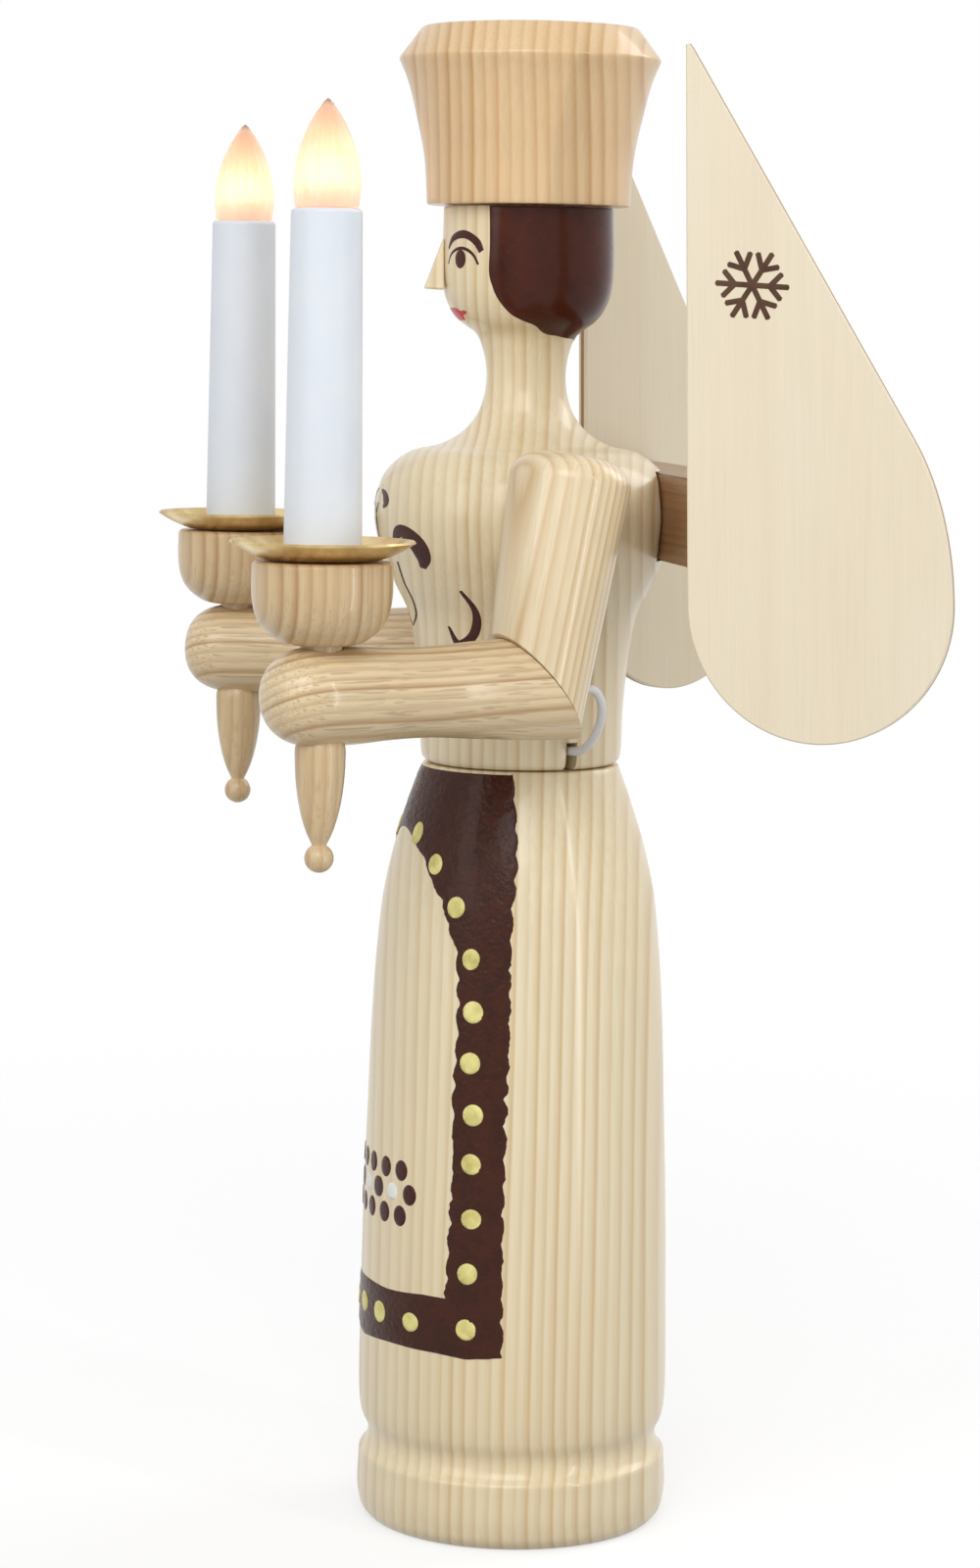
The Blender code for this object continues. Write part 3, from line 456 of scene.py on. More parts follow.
class Finishes:
    """The figure's finishes, each made once."""

    def __init__(self) -> None:
        """Make every material."""
        cream, line = srgb(238, 224, 190), srgb(209, 178, 128)
        self.body = WoodFinish("body_wood", cream, line).material()
        self.upper_arm = WoodFinish("upper_arm_wood", srgb(236, 220, 186), srgb(204, 170, 120), ring=0.0022,
                                    pith=(-0.02, -0.30), pores=0.12).material()
        self.forearm = WoodFinish("forearm_wood", srgb(234, 212, 172), srgb(176, 136, 86), ring=0.0021,
                                  pith=(-0.05, 0.12), pores=0.45, wander=0.003, streaks=0.9,
                                  relief=0.25).material()
        self.hat = WoodFinish("hat_wood", srgb(230, 200, 156), srgb(194, 148, 92), ring=0.0029).material()
        self.cup = WoodFinish("cup_wood", srgb(218, 192, 150), srgb(170, 130, 82), ring=0.0027,
                              pith=(0.03, -0.30), pores=0.25).material()
        # Painted shade: the block's wood colour is darkened all over to stand for the shade that the torso
        # casts on its front; the wood itself is lighter.
        self.block = WoodFinish("block_wood", srgb(150, 100, 54), srgb(104, 66, 34), ring=0.0018,
                                pith=(0.0, 0.09), along=Along.X, pores=0.4).material()
        self.raw = WoodFinish("raw_wood", srgb(214, 186, 140), srgb(176, 140, 92), along=Along.X,
                              roughness=0.6, coat=0.0).material()
        self.ply = WoodFinish("plywood_face", srgb(234, 222, 198), srgb(216, 198, 162), ring=0.0105,
                              pith=(0.022, 0.30), along=Along.Y, contrast=0.35, wander=0.02, streaks=0.22,
                              pores=0.05, roughness=0.45, coat=0.15).material()
        self.ply_core = WoodFinish("plywood_core", srgb(172, 132, 84), srgb(126, 86, 50), ring=0.0012,
                                   along=Along.Y, roughness=0.6, coat=0.1).material()
        self.cover = WoodFinish("cover_plywood", srgb(214, 190, 146), srgb(180, 146, 98), along=Along.X,
                                ring=0.006, roughness=0.6, coat=0.0).material()
        self.brown = PaintFinish("brown_paint", srgb(70, 32, 26), srgb(54, 24, 20)).material()
        self.apron = PaintFinish("apron_paint", srgb(66, 30, 16), srgb(50, 22, 13), pebble=1.0,
                                 roughness=0.27).material()
        self.hair = PaintFinish("hair_paint", srgb(72, 30, 17), srgb(58, 24, 14), roughness=0.20,
                                relief=0.05).material()
        self.red = PaintFinish("red_paint", srgb(205, 62, 62), srgb(186, 48, 52)).material()
        self.white = PaintFinish("white_paint", srgb(240, 240, 236), srgb(226, 226, 222)).material()
        self.gold = PaintFinish("gold_paint", srgb(236, 226, 150), srgb(184, 168, 92),
                                roughness=0.45).material()
        self.burnt = PaintFinish("burnt_brown", srgb(92, 66, 50), srgb(66, 44, 32), roughness=0.7).material()
        self.brass = BrassFinish().material()
        self.sleeve = PlasticFinish("sleeve_white", srgb(225, 230, 236), srgb(219, 225, 233),
                                    glow=0.10).material()
        self.lead = PlasticFinish("lead_white", srgb(226, 226, 226), srgb(212, 212, 214)).material()
        self.holder = PlasticFinish("holder_white", srgb(224, 222, 214), srgb(206, 204, 196)).material()
        self.terminal = PlasticFinish("terminal_cream", srgb(222, 216, 196), srgb(202, 196, 176)).material()


def catmull(points: Sequence[Vector], closed: bool, steps: int) -> list[Vector]:
    """Return a smooth curve through points.

    Args:
        points: the points the curve passes, of any one dimension.
        closed: True where the last point leads back to the first.
        steps: points made for each span.

    Returns:
        The curve's points, with the first point again only where it is open.
    """
    count = len(points)
    made = []
    for number in range(count if closed else count - 1):
        near = range(number - 1, number + 3)
        before, start, end, after = (
            points[place % count if closed else min(max(place, 0), count - 1)] for place in near
        )
        span = (end - start).length
        lead_in = max((start - before).length, span * 0.25)
        lead_out = max((after - end).length, span * 0.25)
        leave = slope(before, start, end, lead_in, span) * span
        reach = slope(start, end, after, span, lead_out) * span
        for step in range(steps):
            t = step / steps
            made.append(
                start * (2 * t ** 3 - 3 * t ** 2 + 1) + leave * (t ** 3 - 2 * t ** 2 + t)
                + end * (3 * t ** 2 - 2 * t ** 3) + reach * (t ** 3 - t ** 2)
            )
    return made if closed else made + [points[-1]]


def slope(before: Vector, here: Vector, after: Vector, run_in: float, run_out: float) -> Vector:
    """Return the curve's slope at a point, weighing the nearer neighbour more.

    Args:
        before, here, after: the point and its neighbours.
        run_in, run_out: the lengths that count before and after it.

    Returns:
        The slope.
    """
    if (here - before).length < 1e-9:
        return (after - here) / run_out
    if (after - here).length < 1e-9:
        return (here - before) / run_in
    return ((here - before) / run_in * run_out + (after - here) / run_out * run_in) / (run_in + run_out)


def soften(points: Sequence[Point], edge: float = 0.0005, corner: float = math.radians(42.0),
           step: float = 0.0009) -> list[Point]:
    """Return a turned profile with its runs smoothed and its corners eased.

    Args:
        points: (radius, height) points.
        edge: how far from a corner its easing starts, in metres.
        corner: the turn beyond which a point counts as a corner.
        step: about how far apart the finer points lie, in metres.

    Returns:
        The finer profile.
    """
    flat = [Vector(point) for point in points]
    runs, run = [], [flat[0]]
    for before, here, after in zip(flat, flat[1:], flat[2:]):
        if (here - before).angle(after - here, 0.0) > corner:
            reach = min(edge, (here - before).length * 0.4, (after - here).length * 0.4)
            start = here + (before - here).normalized() * reach
            end = here + (after - here).normalized() * reach
            runs.append(run + [start])
            runs.append([start, (start + 2 * here + end) / 4, end])
            run = [end]
        else:
            run.append(here)
    runs.append(run + [flat[-1]])
    made: list[Vector] = []
    for stretch in runs:
        curve = stretch if len(stretch) < 3 else even(catmull(stretch, False, 16), step)
        made.extend(curve if not made else curve[1:])
    return [(max(point.x, 0.0), point.y) for point in made]


def even(line: Sequence[Vector], step: float) -> list[Vector]:
    """Space a line's points evenly.

    Args:
        line: its points.
        step: about how far apart the new ones lie, in metres.

    Returns:
        The new points, with both ends kept.
    """
    total = sum((after - here).length for here, after in zip(line, line[1:]))
    pieces = max(2, round(total / step))
    made, run, target = [line[0]], 0.0, total / pieces
    for here, after in zip(line, line[1:]):
        length = (after - here).length
        while run + length >= target and len(made) < pieces:
            made.append(here.lerp(after, (target - run) / length))
            target += total / pieces
        run += length
    return made + [line[-1]]


def ring_profile(node: str, axis: Point, least: float, low: float = -1.0, high: float = 1.0) -> list[Point]:
    """Read a turned CAD node's outer side from its rings of corners.

    Args:
        node: the CAD node's name.
        axis: where the node's upright axis stands.
        least: the least radius that belongs to the outer side, in metres.
        low, high: the heights between which rings count.

    Returns:
        (radius, height) points from the top down.
    """
    levels: dict[float, Counter] = {}
    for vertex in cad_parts[node].data.vertices:
        place = vertex.co
        radius = math.hypot(place.x - axis[0], place.y - axis[1])
        if radius >= least and low <= place.z <= high:
            levels.setdefault(round(place.z, 5), Counter())[round(radius, 4)] += 1
    fullest = max(count for radii in levels.values() for count in radii.values())
    found = []
    for height, radii in levels.items():
        whole = [radius for radius, count in radii.items() if count > fullest * 0.3]
        if whole:
            found.append((max(whole), height))
    return sorted(found, key=lambda point: -point[1])


def new_piece(name: str, mesh: bpy.types.Mesh, *materials: bpy.types.Material,
              sharp: float = SHARP) -> bpy.types.Object:
    """Link a mesh as a piece, shaded smooth but for its edges.

    Args:
        name: the piece's name.
        mesh: its mesh.
        materials: its materials, in slot order.
        sharp: the angle beyond which an edge stays sharp, in degrees.

    Returns:
        The new object.
    """
    piece = bpy.data.objects.new(name, mesh)
    bpy.context.scene.collection.objects.link(piece)
    for look in materials:
        mesh.materials.append(look)
    mesh.shade_smooth()
    mesh.set_sharp_from_angle(angle=math.radians(sharp))
    return piece


def closed_mesh(name: str, shaping: bmesh.types.BMesh) -> bpy.types.Mesh:
    """Return a closed shape as a mesh, with its faces turned outward.

    Args:
        name: the mesh's name.
        shaping: the shape, which is freed.

    Returns:
        The mesh.
    """
    bmesh.ops.recalc_face_normals(shaping, faces=shaping.faces)
    mesh = bpy.data.meshes.new(name)
    shaping.to_mesh(mesh)
    shaping.free()
    return mesh


def turn(name: str, profile: Sequence[Point], segments: int,
         shape: Optional[Callable[[float, float], float]] = None) -> bpy.types.Mesh:
    """Turn a profile into a closed mesh about its own upright axis.

    Args:
        name: the mesh's name.
        profile: (radius, height) points down the outer side; a closed loop if it never meets the axis.
        segments: how many steps make a full turn.
        shape: a factor on the radius from (angle, height), for ribs.

    Returns:
        The mesh.
    """
    shaping = bmesh.new()
    rings = []
    for radius, height in profile:
        if radius < 1e-6:
            rings.append([shaping.verts.new((0.0, 0.0, height))])
            continue
        ring = []
        for step in range(segments):
            angle = 2 * math.pi * step / segments
            reach = radius * (shape(angle, height) if shape else 1.0)
            ring.append(shaping.verts.new((reach * math.cos(angle), reach * math.sin(angle), height)))
        rings.append(ring)
    pairs = list(zip(rings, rings[1:]))
    if len(rings[0]) > 1:
        pairs.append((rings[-1], rings[0]))
    for upper, lower in pairs:
        for step in range(segments):
            after = (step + 1) % segments
            if len(upper) == 1 and len(lower) > 1:
                shaping.faces.new((upper[0], lower[step], lower[after]))
            elif len(lower) == 1 and len(upper) > 1:
                shaping.faces.new((upper[step], lower[0], upper[after]))
            elif len(upper) > 1:
                shaping.faces.new((upper[step], lower[step], lower[after], upper[after]))
    return closed_mesh(name, shaping)


def carve(piece: bpy.types.Object, tools: Sequence[bpy.types.Object]) -> None:
    """Cut tools out of a piece for good, and drop the tools.

    Args:
        piece: the object to cut.
        tools: closed objects to take away.
    """
    for tool in tools:
        cut = piece.modifiers.new("cut", "BOOLEAN")
        cut.solver = "EXACT"
        cut.object = tool
    bpy.context.view_layer.update()
    evaluated = piece.evaluated_get(bpy.context.evaluated_depsgraph_get())
    mesh = bpy.data.meshes.new_from_object(evaluated)
    piece.modifiers.clear()
    piece.data = mesh
    for tool in tools:
        bpy.data.objects.remove(tool)
    mesh.shade_smooth()
    mesh.set_sharp_from_angle(angle=math.radians(SHARP))


def box_tool(size: Sequence[float], place: Vector, turned: float = 0.0) -> bpy.types.Object:
    """Return a box for carving.

    Args:
        size: its three sides.
        place: its middle.
        turned: how far it is turned about Z, in radians.

    Returns:
        The tool.
    """
    shaping = bmesh.new()
    bmesh.ops.create_cube(shaping, size=1.0, matrix=Matrix.Diagonal((*size, 1.0)))
    tool = new_piece("tool", closed_mesh("tool", shaping))
    tool.location = place
    tool.rotation_euler = (0.0, 0.0, turned)
    return tool


def rod_tool(start: Vector, end: Vector, radius: float) -> bpy.types.Object:
    """Return a cylinder for carving.

    Args:
        start, end: the middles of its two ends.
        radius: its radius.

    Returns:
        The tool.
    """
    shaping = bmesh.new()
    bmesh.ops.create_cone(shaping, cap_ends=True, segments=24, radius1=radius, radius2=radius,
                          depth=(end - start).length)
    tool = new_piece("tool", closed_mesh("tool", shaping))
    tool.location = (start + end) / 2
    tool.rotation_euler = (end - start).to_track_quat("Z", "Y").to_euler()
    return tool


def fit_out(piece: bpy.types.Object, slot: str, *nodes: str) -> bpy.types.Object:
    """Ride a piece on the body and let it stand for CAD nodes.

    Args:
        piece: the piece.
        slot: the record's material slot; not used.
        nodes: the CAD nodes that it replaces, if any.

    Returns:
        The piece.
    """
    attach(piece, BODY)
    if nodes:
        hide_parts(*nodes)
    LOG.info("%s: %d faces", piece.name, len(piece.data.polygons))
    return piece


@dataclass
class PhotoView:
    """The photograph's camera, and where its pixels fall on the figure. Angles are degrees.

    The photograph was taken from the height of the head, so its axis lies above the frame's middle.
    """

    azimuth: float = 78.60
    elevation: float = 2.10
    roll: float = 0.79
    distance: float = 0.9191
    aside: float = -0.00781
    height: float = 0.23577
    lens: float = 93.686
    sensor: float = 36.0
    frame_size: Point = (1000.0, 1600.0)
    axis_y: float = 480.0

    def __post_init__(self) -> None:
        """Work out the camera's place and axes."""
        lateral, up = math.radians(90.0 - self.azimuth), math.radians(self.elevation)
        self.back = Vector((math.cos(up) * math.cos(lateral), -math.cos(up) * math.sin(lateral), math.sin(up)))
        level = Vector((math.sin(lateral), math.cos(lateral), 0.0))
        raised = self.back.cross(level)
        turned = math.radians(self.roll)
        self.right = level * math.cos(turned) + raised * math.sin(turned)
        self.above = raised * math.cos(turned) - level * math.sin(turned)
        self.origin = level * self.aside + UP * self.height + self.back * self.distance
        self.focal = self.lens / self.sensor * self.frame_size[1]

    def make_camera(self) -> bpy.types.Object:
        """Create the camera and make it the scene's own."""
        data = bpy.data.cameras.new("camera")
        data.sensor_fit = "VERTICAL"
        data.sensor_height = self.sensor
        data.sensor_width = self.sensor
        data.lens = self.lens
        data.shift_y = (self.axis_y - self.frame_size[1] / 2) / self.frame_size[1]
        data.clip_start = 0.01
        data.clip_end = 20.0
        camera = bpy.data.objects.new("camera", data)
        bpy.context.scene.collection.objects.link(camera)
        turned = Matrix((self.right, self.above, self.back)).transposed().to_4x4()
        camera.matrix_world = Matrix.Translation(self.origin) @ turned
        bpy.context.scene.camera = camera
        return camera

    def ray(self, x: float, y: float) -> Vector:
        """Return the direction in which the camera sees a pixel of the photograph."""
        across = (x - self.frame_size[0] / 2) / self.focal
        down = (y - self.axis_y) / self.focal
        return (self.right * across - self.above * down - self.back).normalized()


class TurnedSurface:
    """A turned surface as a chart: distance round the body, and height."""

    def __init__(self, profile: Sequence[Point], unit: float) -> None:
        """Keep a profile from the top down, and the radius at which one unit round is one metre."""
        rising = sorted(profile, key=lambda point: point[1])
        self.heights = np.array([height for _, height in rising])
        self.radii = np.array([radius for radius, _ in rising])
        self.unit = unit

    def radius(self, height: float) -> float:
        """Return the body's radius at a height."""
        return float(np.interp(height, self.heights, self.radii))

    def angle(self, across: float) -> float:
        """Return the angle from the front, towards the figure's left, of a chart distance."""
        return across / self.unit

    def point(self, across: float, height: float, lift: float) -> Vector:
        """Return a place on the surface.

        Args:
            across: distance round the body from the front, at the unit radius.
            height: height above the floor.
            lift: how far the place stands off the surface.

        Returns:
            The place in metres.
        """
        step = 0.0004
        rise = (self.radius(height + step) - self.radius(height - step)) / (2 * step)
        lean = math.atan(rise)
        radius = self.radius(height) + lift * math.cos(lean)
        angle = self.angle(across)
        return Vector((radius * math.sin(angle), -radius * math.cos(angle), height - lift * math.sin(lean)))

    def seen(self, view: PhotoView, x: float, y: float) -> Vector:
        """Return the chart place that the photograph's camera sees at a pixel.

        Args:
            view: the camera.
            x, y: the pixel, in the photograph.

        Returns:
            The place, or the nearest one where the pixel misses the surface.
        """
        ray = view.ray(x, y)
        nearest, step, tries = view.distance - 0.06, 0.0002, 420
        best, gap = view.distance, 1.0
        for number in range(tries):
            distance = nearest + number * step
            place = view.origin + ray * distance
            off = math.hypot(place.x, place.y) - self.radius(place.z)
            if off < gap:
                best, gap = distance, off
            if off <= 0.0:
                break
        place = view.origin + ray * best
        return Vector((math.atan2(place.x, -place.y) * self.unit, place.z))


class FlatSurface:
    """A flat face as a chart, in an object's own XY plane."""

    def __init__(self, level: float) -> None:
        """Keep the face's local height; a negative one faces down."""
        self.level = level

    def point(self, across: float, height: float, lift: float) -> Vector:
        """Return the local place of a chart place that stands off the face by a lift."""
        return Vector((across, height, self.level + math.copysign(lift, self.level)))


def inside(place: Vector, loop: Sequence[Vector]) -> bool:
    """Return whether a place lies in a closed loop.

    Args:
        place: the chart place.
        loop: the loop's points.

    Returns:
        True where it lies inside.
    """
    held = False
    before = loop[-1]
    for here in loop:
        if (here.y > place.y) != (before.y > place.y):
            cross = (before.x - here.x) * (place.y - here.y) / (before.y - here.y) + here.x
            held ^= place.x < cross
        before = here
    return held


class Fill(Enum):
    """How several loops of one painted shape are read."""

    ANY = "any"
    RING = "ring"


@dataclass
class Paint:
    """A film of paint on a surface, with its edge drawn down.

    cell is the mesh's step, film the paint's thickness and pebble the height of its lumps.
    """

    name: str
    loops: list[list[Vector]]
    surface: Union[TurnedSurface, FlatSurface]
    film: float = 0.00012
    cell: float = 0.0010
    fill: Fill = Fill.ANY
    base: float = 0.0
    pebble: float = 0.0
    dome: float = 0.0

    def holds(self, place: Vector) -> bool:
        """Return whether the paint covers a chart place."""
        hits = sum(inside(place, loop) for loop in self.loops)
        return hits % 2 == 1 if self.fill is Fill.RING else hits > 0

    def edge_points(self) -> tuple[list[Vector], list[tuple[int, int]]]:
        """Return the loops' points, close together, and the edges that join them."""
        points: list[Vector] = []
        edges: list[tuple[int, int]] = []
        for loop in self.loops:
            first = len(points)
            for here, after in zip(loop, loop[1:] + loop[:1]):
                pieces = max(1, round((after - here).length / self.cell))
                points.extend(here.lerp(after, step / pieces) for step in range(pieces))
            numbers = list(range(first, len(points)))
            edges.extend(zip(numbers, numbers[1:] + numbers[:1]))
        return points, edges

    def mesh(self) -> bpy.types.Mesh:
        """Return the film as a closed mesh on its surface."""
        points, edges = self.edge_points()
        rim = np.array([tuple(point) for point in points])
        low, high = rim.min(0), rim.max(0)
        grid = []
        for row, height in enumerate(np.arange(low[1], high[1], self.cell * 0.87)):
            for across in np.arange(low[0] + (row % 2) * self.cell / 2, high[0], self.cell):
                place = Vector((across, height))
                if np.hypot(*(rim - (across, height)).T).min() > self.cell * 0.55 and self.holds(place):
                    grid.append(place)
        made = delaunay_2d_cdt(points + grid, edges, [], 0, 1e-7)
        verts, faces = made[0], made[2]
        kept = []
        for face in faces:
            middle = sum((verts[corner] for corner in face), Vector((0.0, 0.0))) / len(face)
            if self.holds(middle):
                kept.append(face)
        used = Counter()
        for face in kept:
            for pair in zip(face, face[1:] + face[:1]):
                used[tuple(sorted(pair))] += 1
        border = {corner for pair, count in used.items() if count == 1 for corner in pair}
        return self.close(verts, kept, border)

    def close(self, verts: Sequence[Vector], faces: Sequence[Sequence[int]],
              border: set[int]) -> bpy.types.Mesh:
        """Return the closed film over chart triangles.

        Args:
            verts: the chart places.
            faces: the triangles, as corner numbers.
            border: the corners on the paint's edge.

        Returns:
            The mesh.
        """
        shaping = bmesh.new()
        middle = sum((loop[0] for loop in self.loops), Vector((0.0, 0.0))) / len(self.loops)
        reach = max((verts[corner] - middle).length for face in faces for corner in face)
        top, under = {}, {}
        for corner in {corner for face in faces for corner in face}:
            place = verts[corner]
            lift = self.film * (0.25 if corner in border else 1.0)
            if corner not in border:
                lump = noise.noise(Vector((place.x, place.y, 0.0)) * 900.0)
                away = min(1.0, (place - middle).length / reach)
                lift += self.pebble * lump + self.dome * (1.0 - away * away)
            top[corner] = shaping.verts.new(self.surface.point(place.x, place.y, self.base + lift))
            under[corner] = shaping.verts.new(self.surface.point(place.x, place.y, self.base - self.film * 0.5))
        for face in faces:
            shaping.faces.new([top[corner] for corner in face])
            shaping.faces.new([under[corner] for corner in reversed(face)])
        walls = Counter()
        for face in faces:
            for pair in zip(face, face[1:] + face[:1]):
                walls[pair] += 1
        for start, end in list(walls):
            if (end, start) not in walls:
                shaping.faces.new((top[end], top[start], under[start], under[end]))
        return closed_mesh(self.name, shaping)

    def lay(self, look: bpy.types.Material, slot: str) -> bpy.types.Object:
        """Make the film a piece of that look."""
        return fit_out(new_piece(self.name, self.mesh(), look, sharp=75.0), slot)


def disc(centre: Vector, radius: float, stretch: float = 1.0, tilt: float = 0.0,
         count: int = 18) -> list[Vector]:
    """Return a round or oval loop in a chart.

    Args:
        centre: its middle.
        radius: half its height before tilting.
        stretch: its width as a share of its height.
        tilt: how far it is turned, in radians.
        count: how many points it has.

    Returns:
        The loop.
    """
    made = []
    for number in range(count):
        angle = 2 * math.pi * number / count
        place = Vector((radius * stretch * math.cos(angle), radius * math.sin(angle)))
        place.rotate(Matrix.Rotation(tilt, 2))
        made.append(centre + place)
    return made


def stroke(points: Sequence[Vector], widths: Sequence[float], steps: int = 6) -> list[Vector]:
    """Return the loop of a brush stroke along a curve.

    Args:
        points: the points the stroke passes.
        widths: the stroke's width at each point.
        steps: points made for each span.

    Returns:
        The loop round the stroke.
    """
    line = catmull([Vector((*point, width)) for point, width in zip(points, widths)], False, steps)
    left, right = [], []
    for number, here in enumerate(line):
        before, after = line[max(number - 1, 0)], line[min(number + 1, len(line) - 1)]
        way = Vector((after.x - before.x, after.y - before.y)).normalized()
        side = Vector((-way.y, way.x)) * max(here.z, 0.0001) / 2
        left.append(Vector((here.x, here.y)) + side)
        right.append(Vector((here.x, here.y)) - side)
    return left + right[::-1]


def flipped(loop: Sequence[Vector], middle: float = 0.0) -> list[Vector]:
    """Return a loop mirrored across an upright chart line, in the same turning sense."""
    return [Vector((2 * middle - place.x, place.y)) for place in reversed(loop)]


@dataclass
class PaintedPart:
    """A turned piece that is painted where the photograph shows its paint."""

    finishes: Finishes
    view: PhotoView
    surface: TurnedSurface = field(init=False)

    def seen(self, pixels: Sequence[Point]) -> list[Vector]:
        """Return the chart places of the photograph's pixels."""
        return [self.surface.seen(self.view, *pixel) for pixel in pixels]


@dataclass
class Skirt(PaintedPart):
    """The turned skirt with its painted apron border, gold dots and dot flowers.

    Pixel places are the photograph's; turned is how far the apron's middle lies round to the
    figure's left.
    """

    segments: int = 200
    unit: float = 0.034
    turned: float = math.radians(4.8)
    scallop: float = 0.0009
    scallop_step: float = 0.0060
    apron_film: float = 0.00022
    outlet_height: float = 0.0090
    outlet_radius: float = 0.0024
    waist_rise: float = 0.0028
    waist_half: float = 0.0035
    waist_fall: float = 0.0004
    outer_px: tuple[Point, ...] = (
        (523, 787), (527, 844), (527, 888), (524, 918), (521, 982), (520, 1036), (519, 1079), (516, 1127),
        (515, 1177), (513, 1244), (512, 1330), (512, 1386),
    )
    inner_px: tuple[Point, ...] = (
        (424, 860), (434, 877), (442, 902), (452, 921), (459, 949), (464, 961), (467, 987), (467, 1053),
        (463, 1117), (462, 1196), (460, 1235), (457, 1283), (455, 1325),
    )
    band_top_px: tuple[Point, ...] = ((432, 1321), (397, 1315), (378, 1305))
    band_low_px: tuple[Point, ...] = ((474, 1387), (447, 1381), (422, 1376), (397, 1369), (378, 1363))
    dots_px: tuple[Point, ...] = (
        (427, 850), (445, 882), (466, 926), (481, 979), (483, 1033), (480, 1085), (483, 1138), (481, 1188),
        (481, 1244), (477, 1300), (475.5, 1357), (419, 1349), (388, 1338),
    )
    dot_radius: float = 0.00235
    flower_px: Point = (403.0, 1216.0)
    flower_angle: float = math.radians(20.6)
    petal_radius: float = 0.0023
    petal_ring: float = 0.0058
    flower_heart: float = 0.0019

    def build(self) -> None:
        """Build the skirt and everything painted on it."""
        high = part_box("skirt")[1]
        cover_low, cover_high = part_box("base_cover")
        rebate = (cover_high.x - cover_low.x) / 2 + FIT
        outer = ring_profile("skirt", (0.0, 0.0), rebate + 0.001)
        inner = [(rebate, 0.0), (rebate, cover_high.z + FIT), (0.0, cover_high.z + FIT)]
        profile = soften([(0.0, high.z), *outer, *inner])
        self.surface = TurnedSurface(soften(outer), self.unit)
        skirt = new_piece("turned_skirt", turn("turned_skirt", profile, self.segments), self.finishes.body)
        ends = [Vector((0.0, high.y * share, self.outlet_height)) for share in (0.75, 1.1)]
        carve(skirt, [rod_tool(*ends, self.outlet_radius)])
        fit_out(skirt, "body_wood", "skirt")
        self.build_apron()
        self.build_dots()
        self.build_flowers()

    def scalloped(self, line: Sequence[Vector], outward: float) -> list[Vector]:
        """Return an edge with small bulges along it.

        Args:
            line: the edge's points, top down.
            outward: 1 where the bulges point away from the front, -1 where towards it.

        Returns:
            The scalloped edge.
        """
        fine = catmull(list(line), False, 20)
        made, run = [], 0.0
        for before, here in zip([fine[0]] + fine, fine):
            run += (here - before).length
            drift = noise.noise(Vector((run * 60.0, outward * 5.0, 2.0)))
            bulge = (abs(math.sin(math.pi * (run / self.scallop_step + 0.5 * drift))) - 0.5) * (0.8 + drift)
            uneven = noise.noise(Vector((run * 900.0, outward * 3.0, 0.0)))
            made.append(here + Vector((outward * self.scallop * (bulge + 0.4 * uneven), 0.0)))
        return made

    def build_apron(self) -> None:
        """Paint the apron's border as one ring round the bare front."""
        middle = self.turned * self.unit
        top = self.surface.heights[-1] - 0.0006
        outer = self.scalloped(self.seen(self.outer_px), 1.0)
        outer[0].y = top
        low = self.seen(self.band_low_px)
        low_middle = Vector((middle, low[-1].y - 0.0004))
        left = [Vector((middle, top)), *outer, *catmull(low + [low_middle], False, 4)]
        inner = self.scalloped(self.seen(self.inner_px), -1.0)
        band = self.seen(self.band_top_px)
        waist = Vector((middle, inner[0].y + self.waist_rise))
        bend = Vector((middle + self.waist_half, waist.y - self.waist_fall))
        hole = [*catmull([waist, bend, inner[0]], False, 4)[:-1], *inner,
                *catmull(band + [Vector((middle, band[-1].y))], False, 4)]
        ring = left[:-1] + flipped(left, middle)[:-1]
        window = hole[:-1] + flipped(hole, middle)[:-1]
        paint = Paint("apron_border", [ring, window], self.surface, film=self.apron_film, cell=0.0011,
                      fill=Fill.RING, pebble=0.00012)
        paint.lay(self.finishes.apron, "body_wood")

    def build_dots(self) -> None:
        """Paint the gold dots along the border, on both sides."""
        middle = self.turned * self.unit
        places = self.seen(self.dots_px)
        both = places + [Vector((2 * middle - place.x, place.y)) for place in places]
        both.append(Vector((middle, places[-1].y + 0.0004)))
        for number, place in enumerate(both):
            wobble = noise.noise(Vector((number * 7.3, 1.7, 0.0)))
            loop = disc(place, self.dot_radius * (1 + 0.08 * wobble), 0.96 + 0.08 * wobble, number)
            Paint(f"gold_dot_{number:02d}", [loop], self.surface, film=0.00012, cell=0.0007,
                  base=self.apron_film, dome=0.00010, pebble=0.00005).lay(self.finishes.gold, "body_wood")

    def build_flowers(self) -> None:
        """Paint the row of dot flowers on the bare front."""
        middle = self.turned * self.unit
        height = self.seen([self.flower_px])[0].y
        for number, turn_share in enumerate((-1, 0, 1)):
            centre = Vector((middle + turn_share * self.flower_angle * self.unit, height))
            petals = []
            for petal in range(6):
                angle = math.radians(60.0 * petal)
                place = centre + Vector((math.cos(angle), math.sin(angle))) * self.petal_ring
                petals.append(disc(place, self.petal_radius, 0.9))
            Paint(f"flower_{number}_petals", petals, self.surface, cell=0.0007,
                  dome=0.00008).lay(self.finishes.brown, "body_wood")
            Paint(f"flower_{number}_heart", [disc(centre, self.flower_heart)], self.surface, cell=0.0007,
                  dome=0.00008).lay(self.finishes.white, "body_wood")


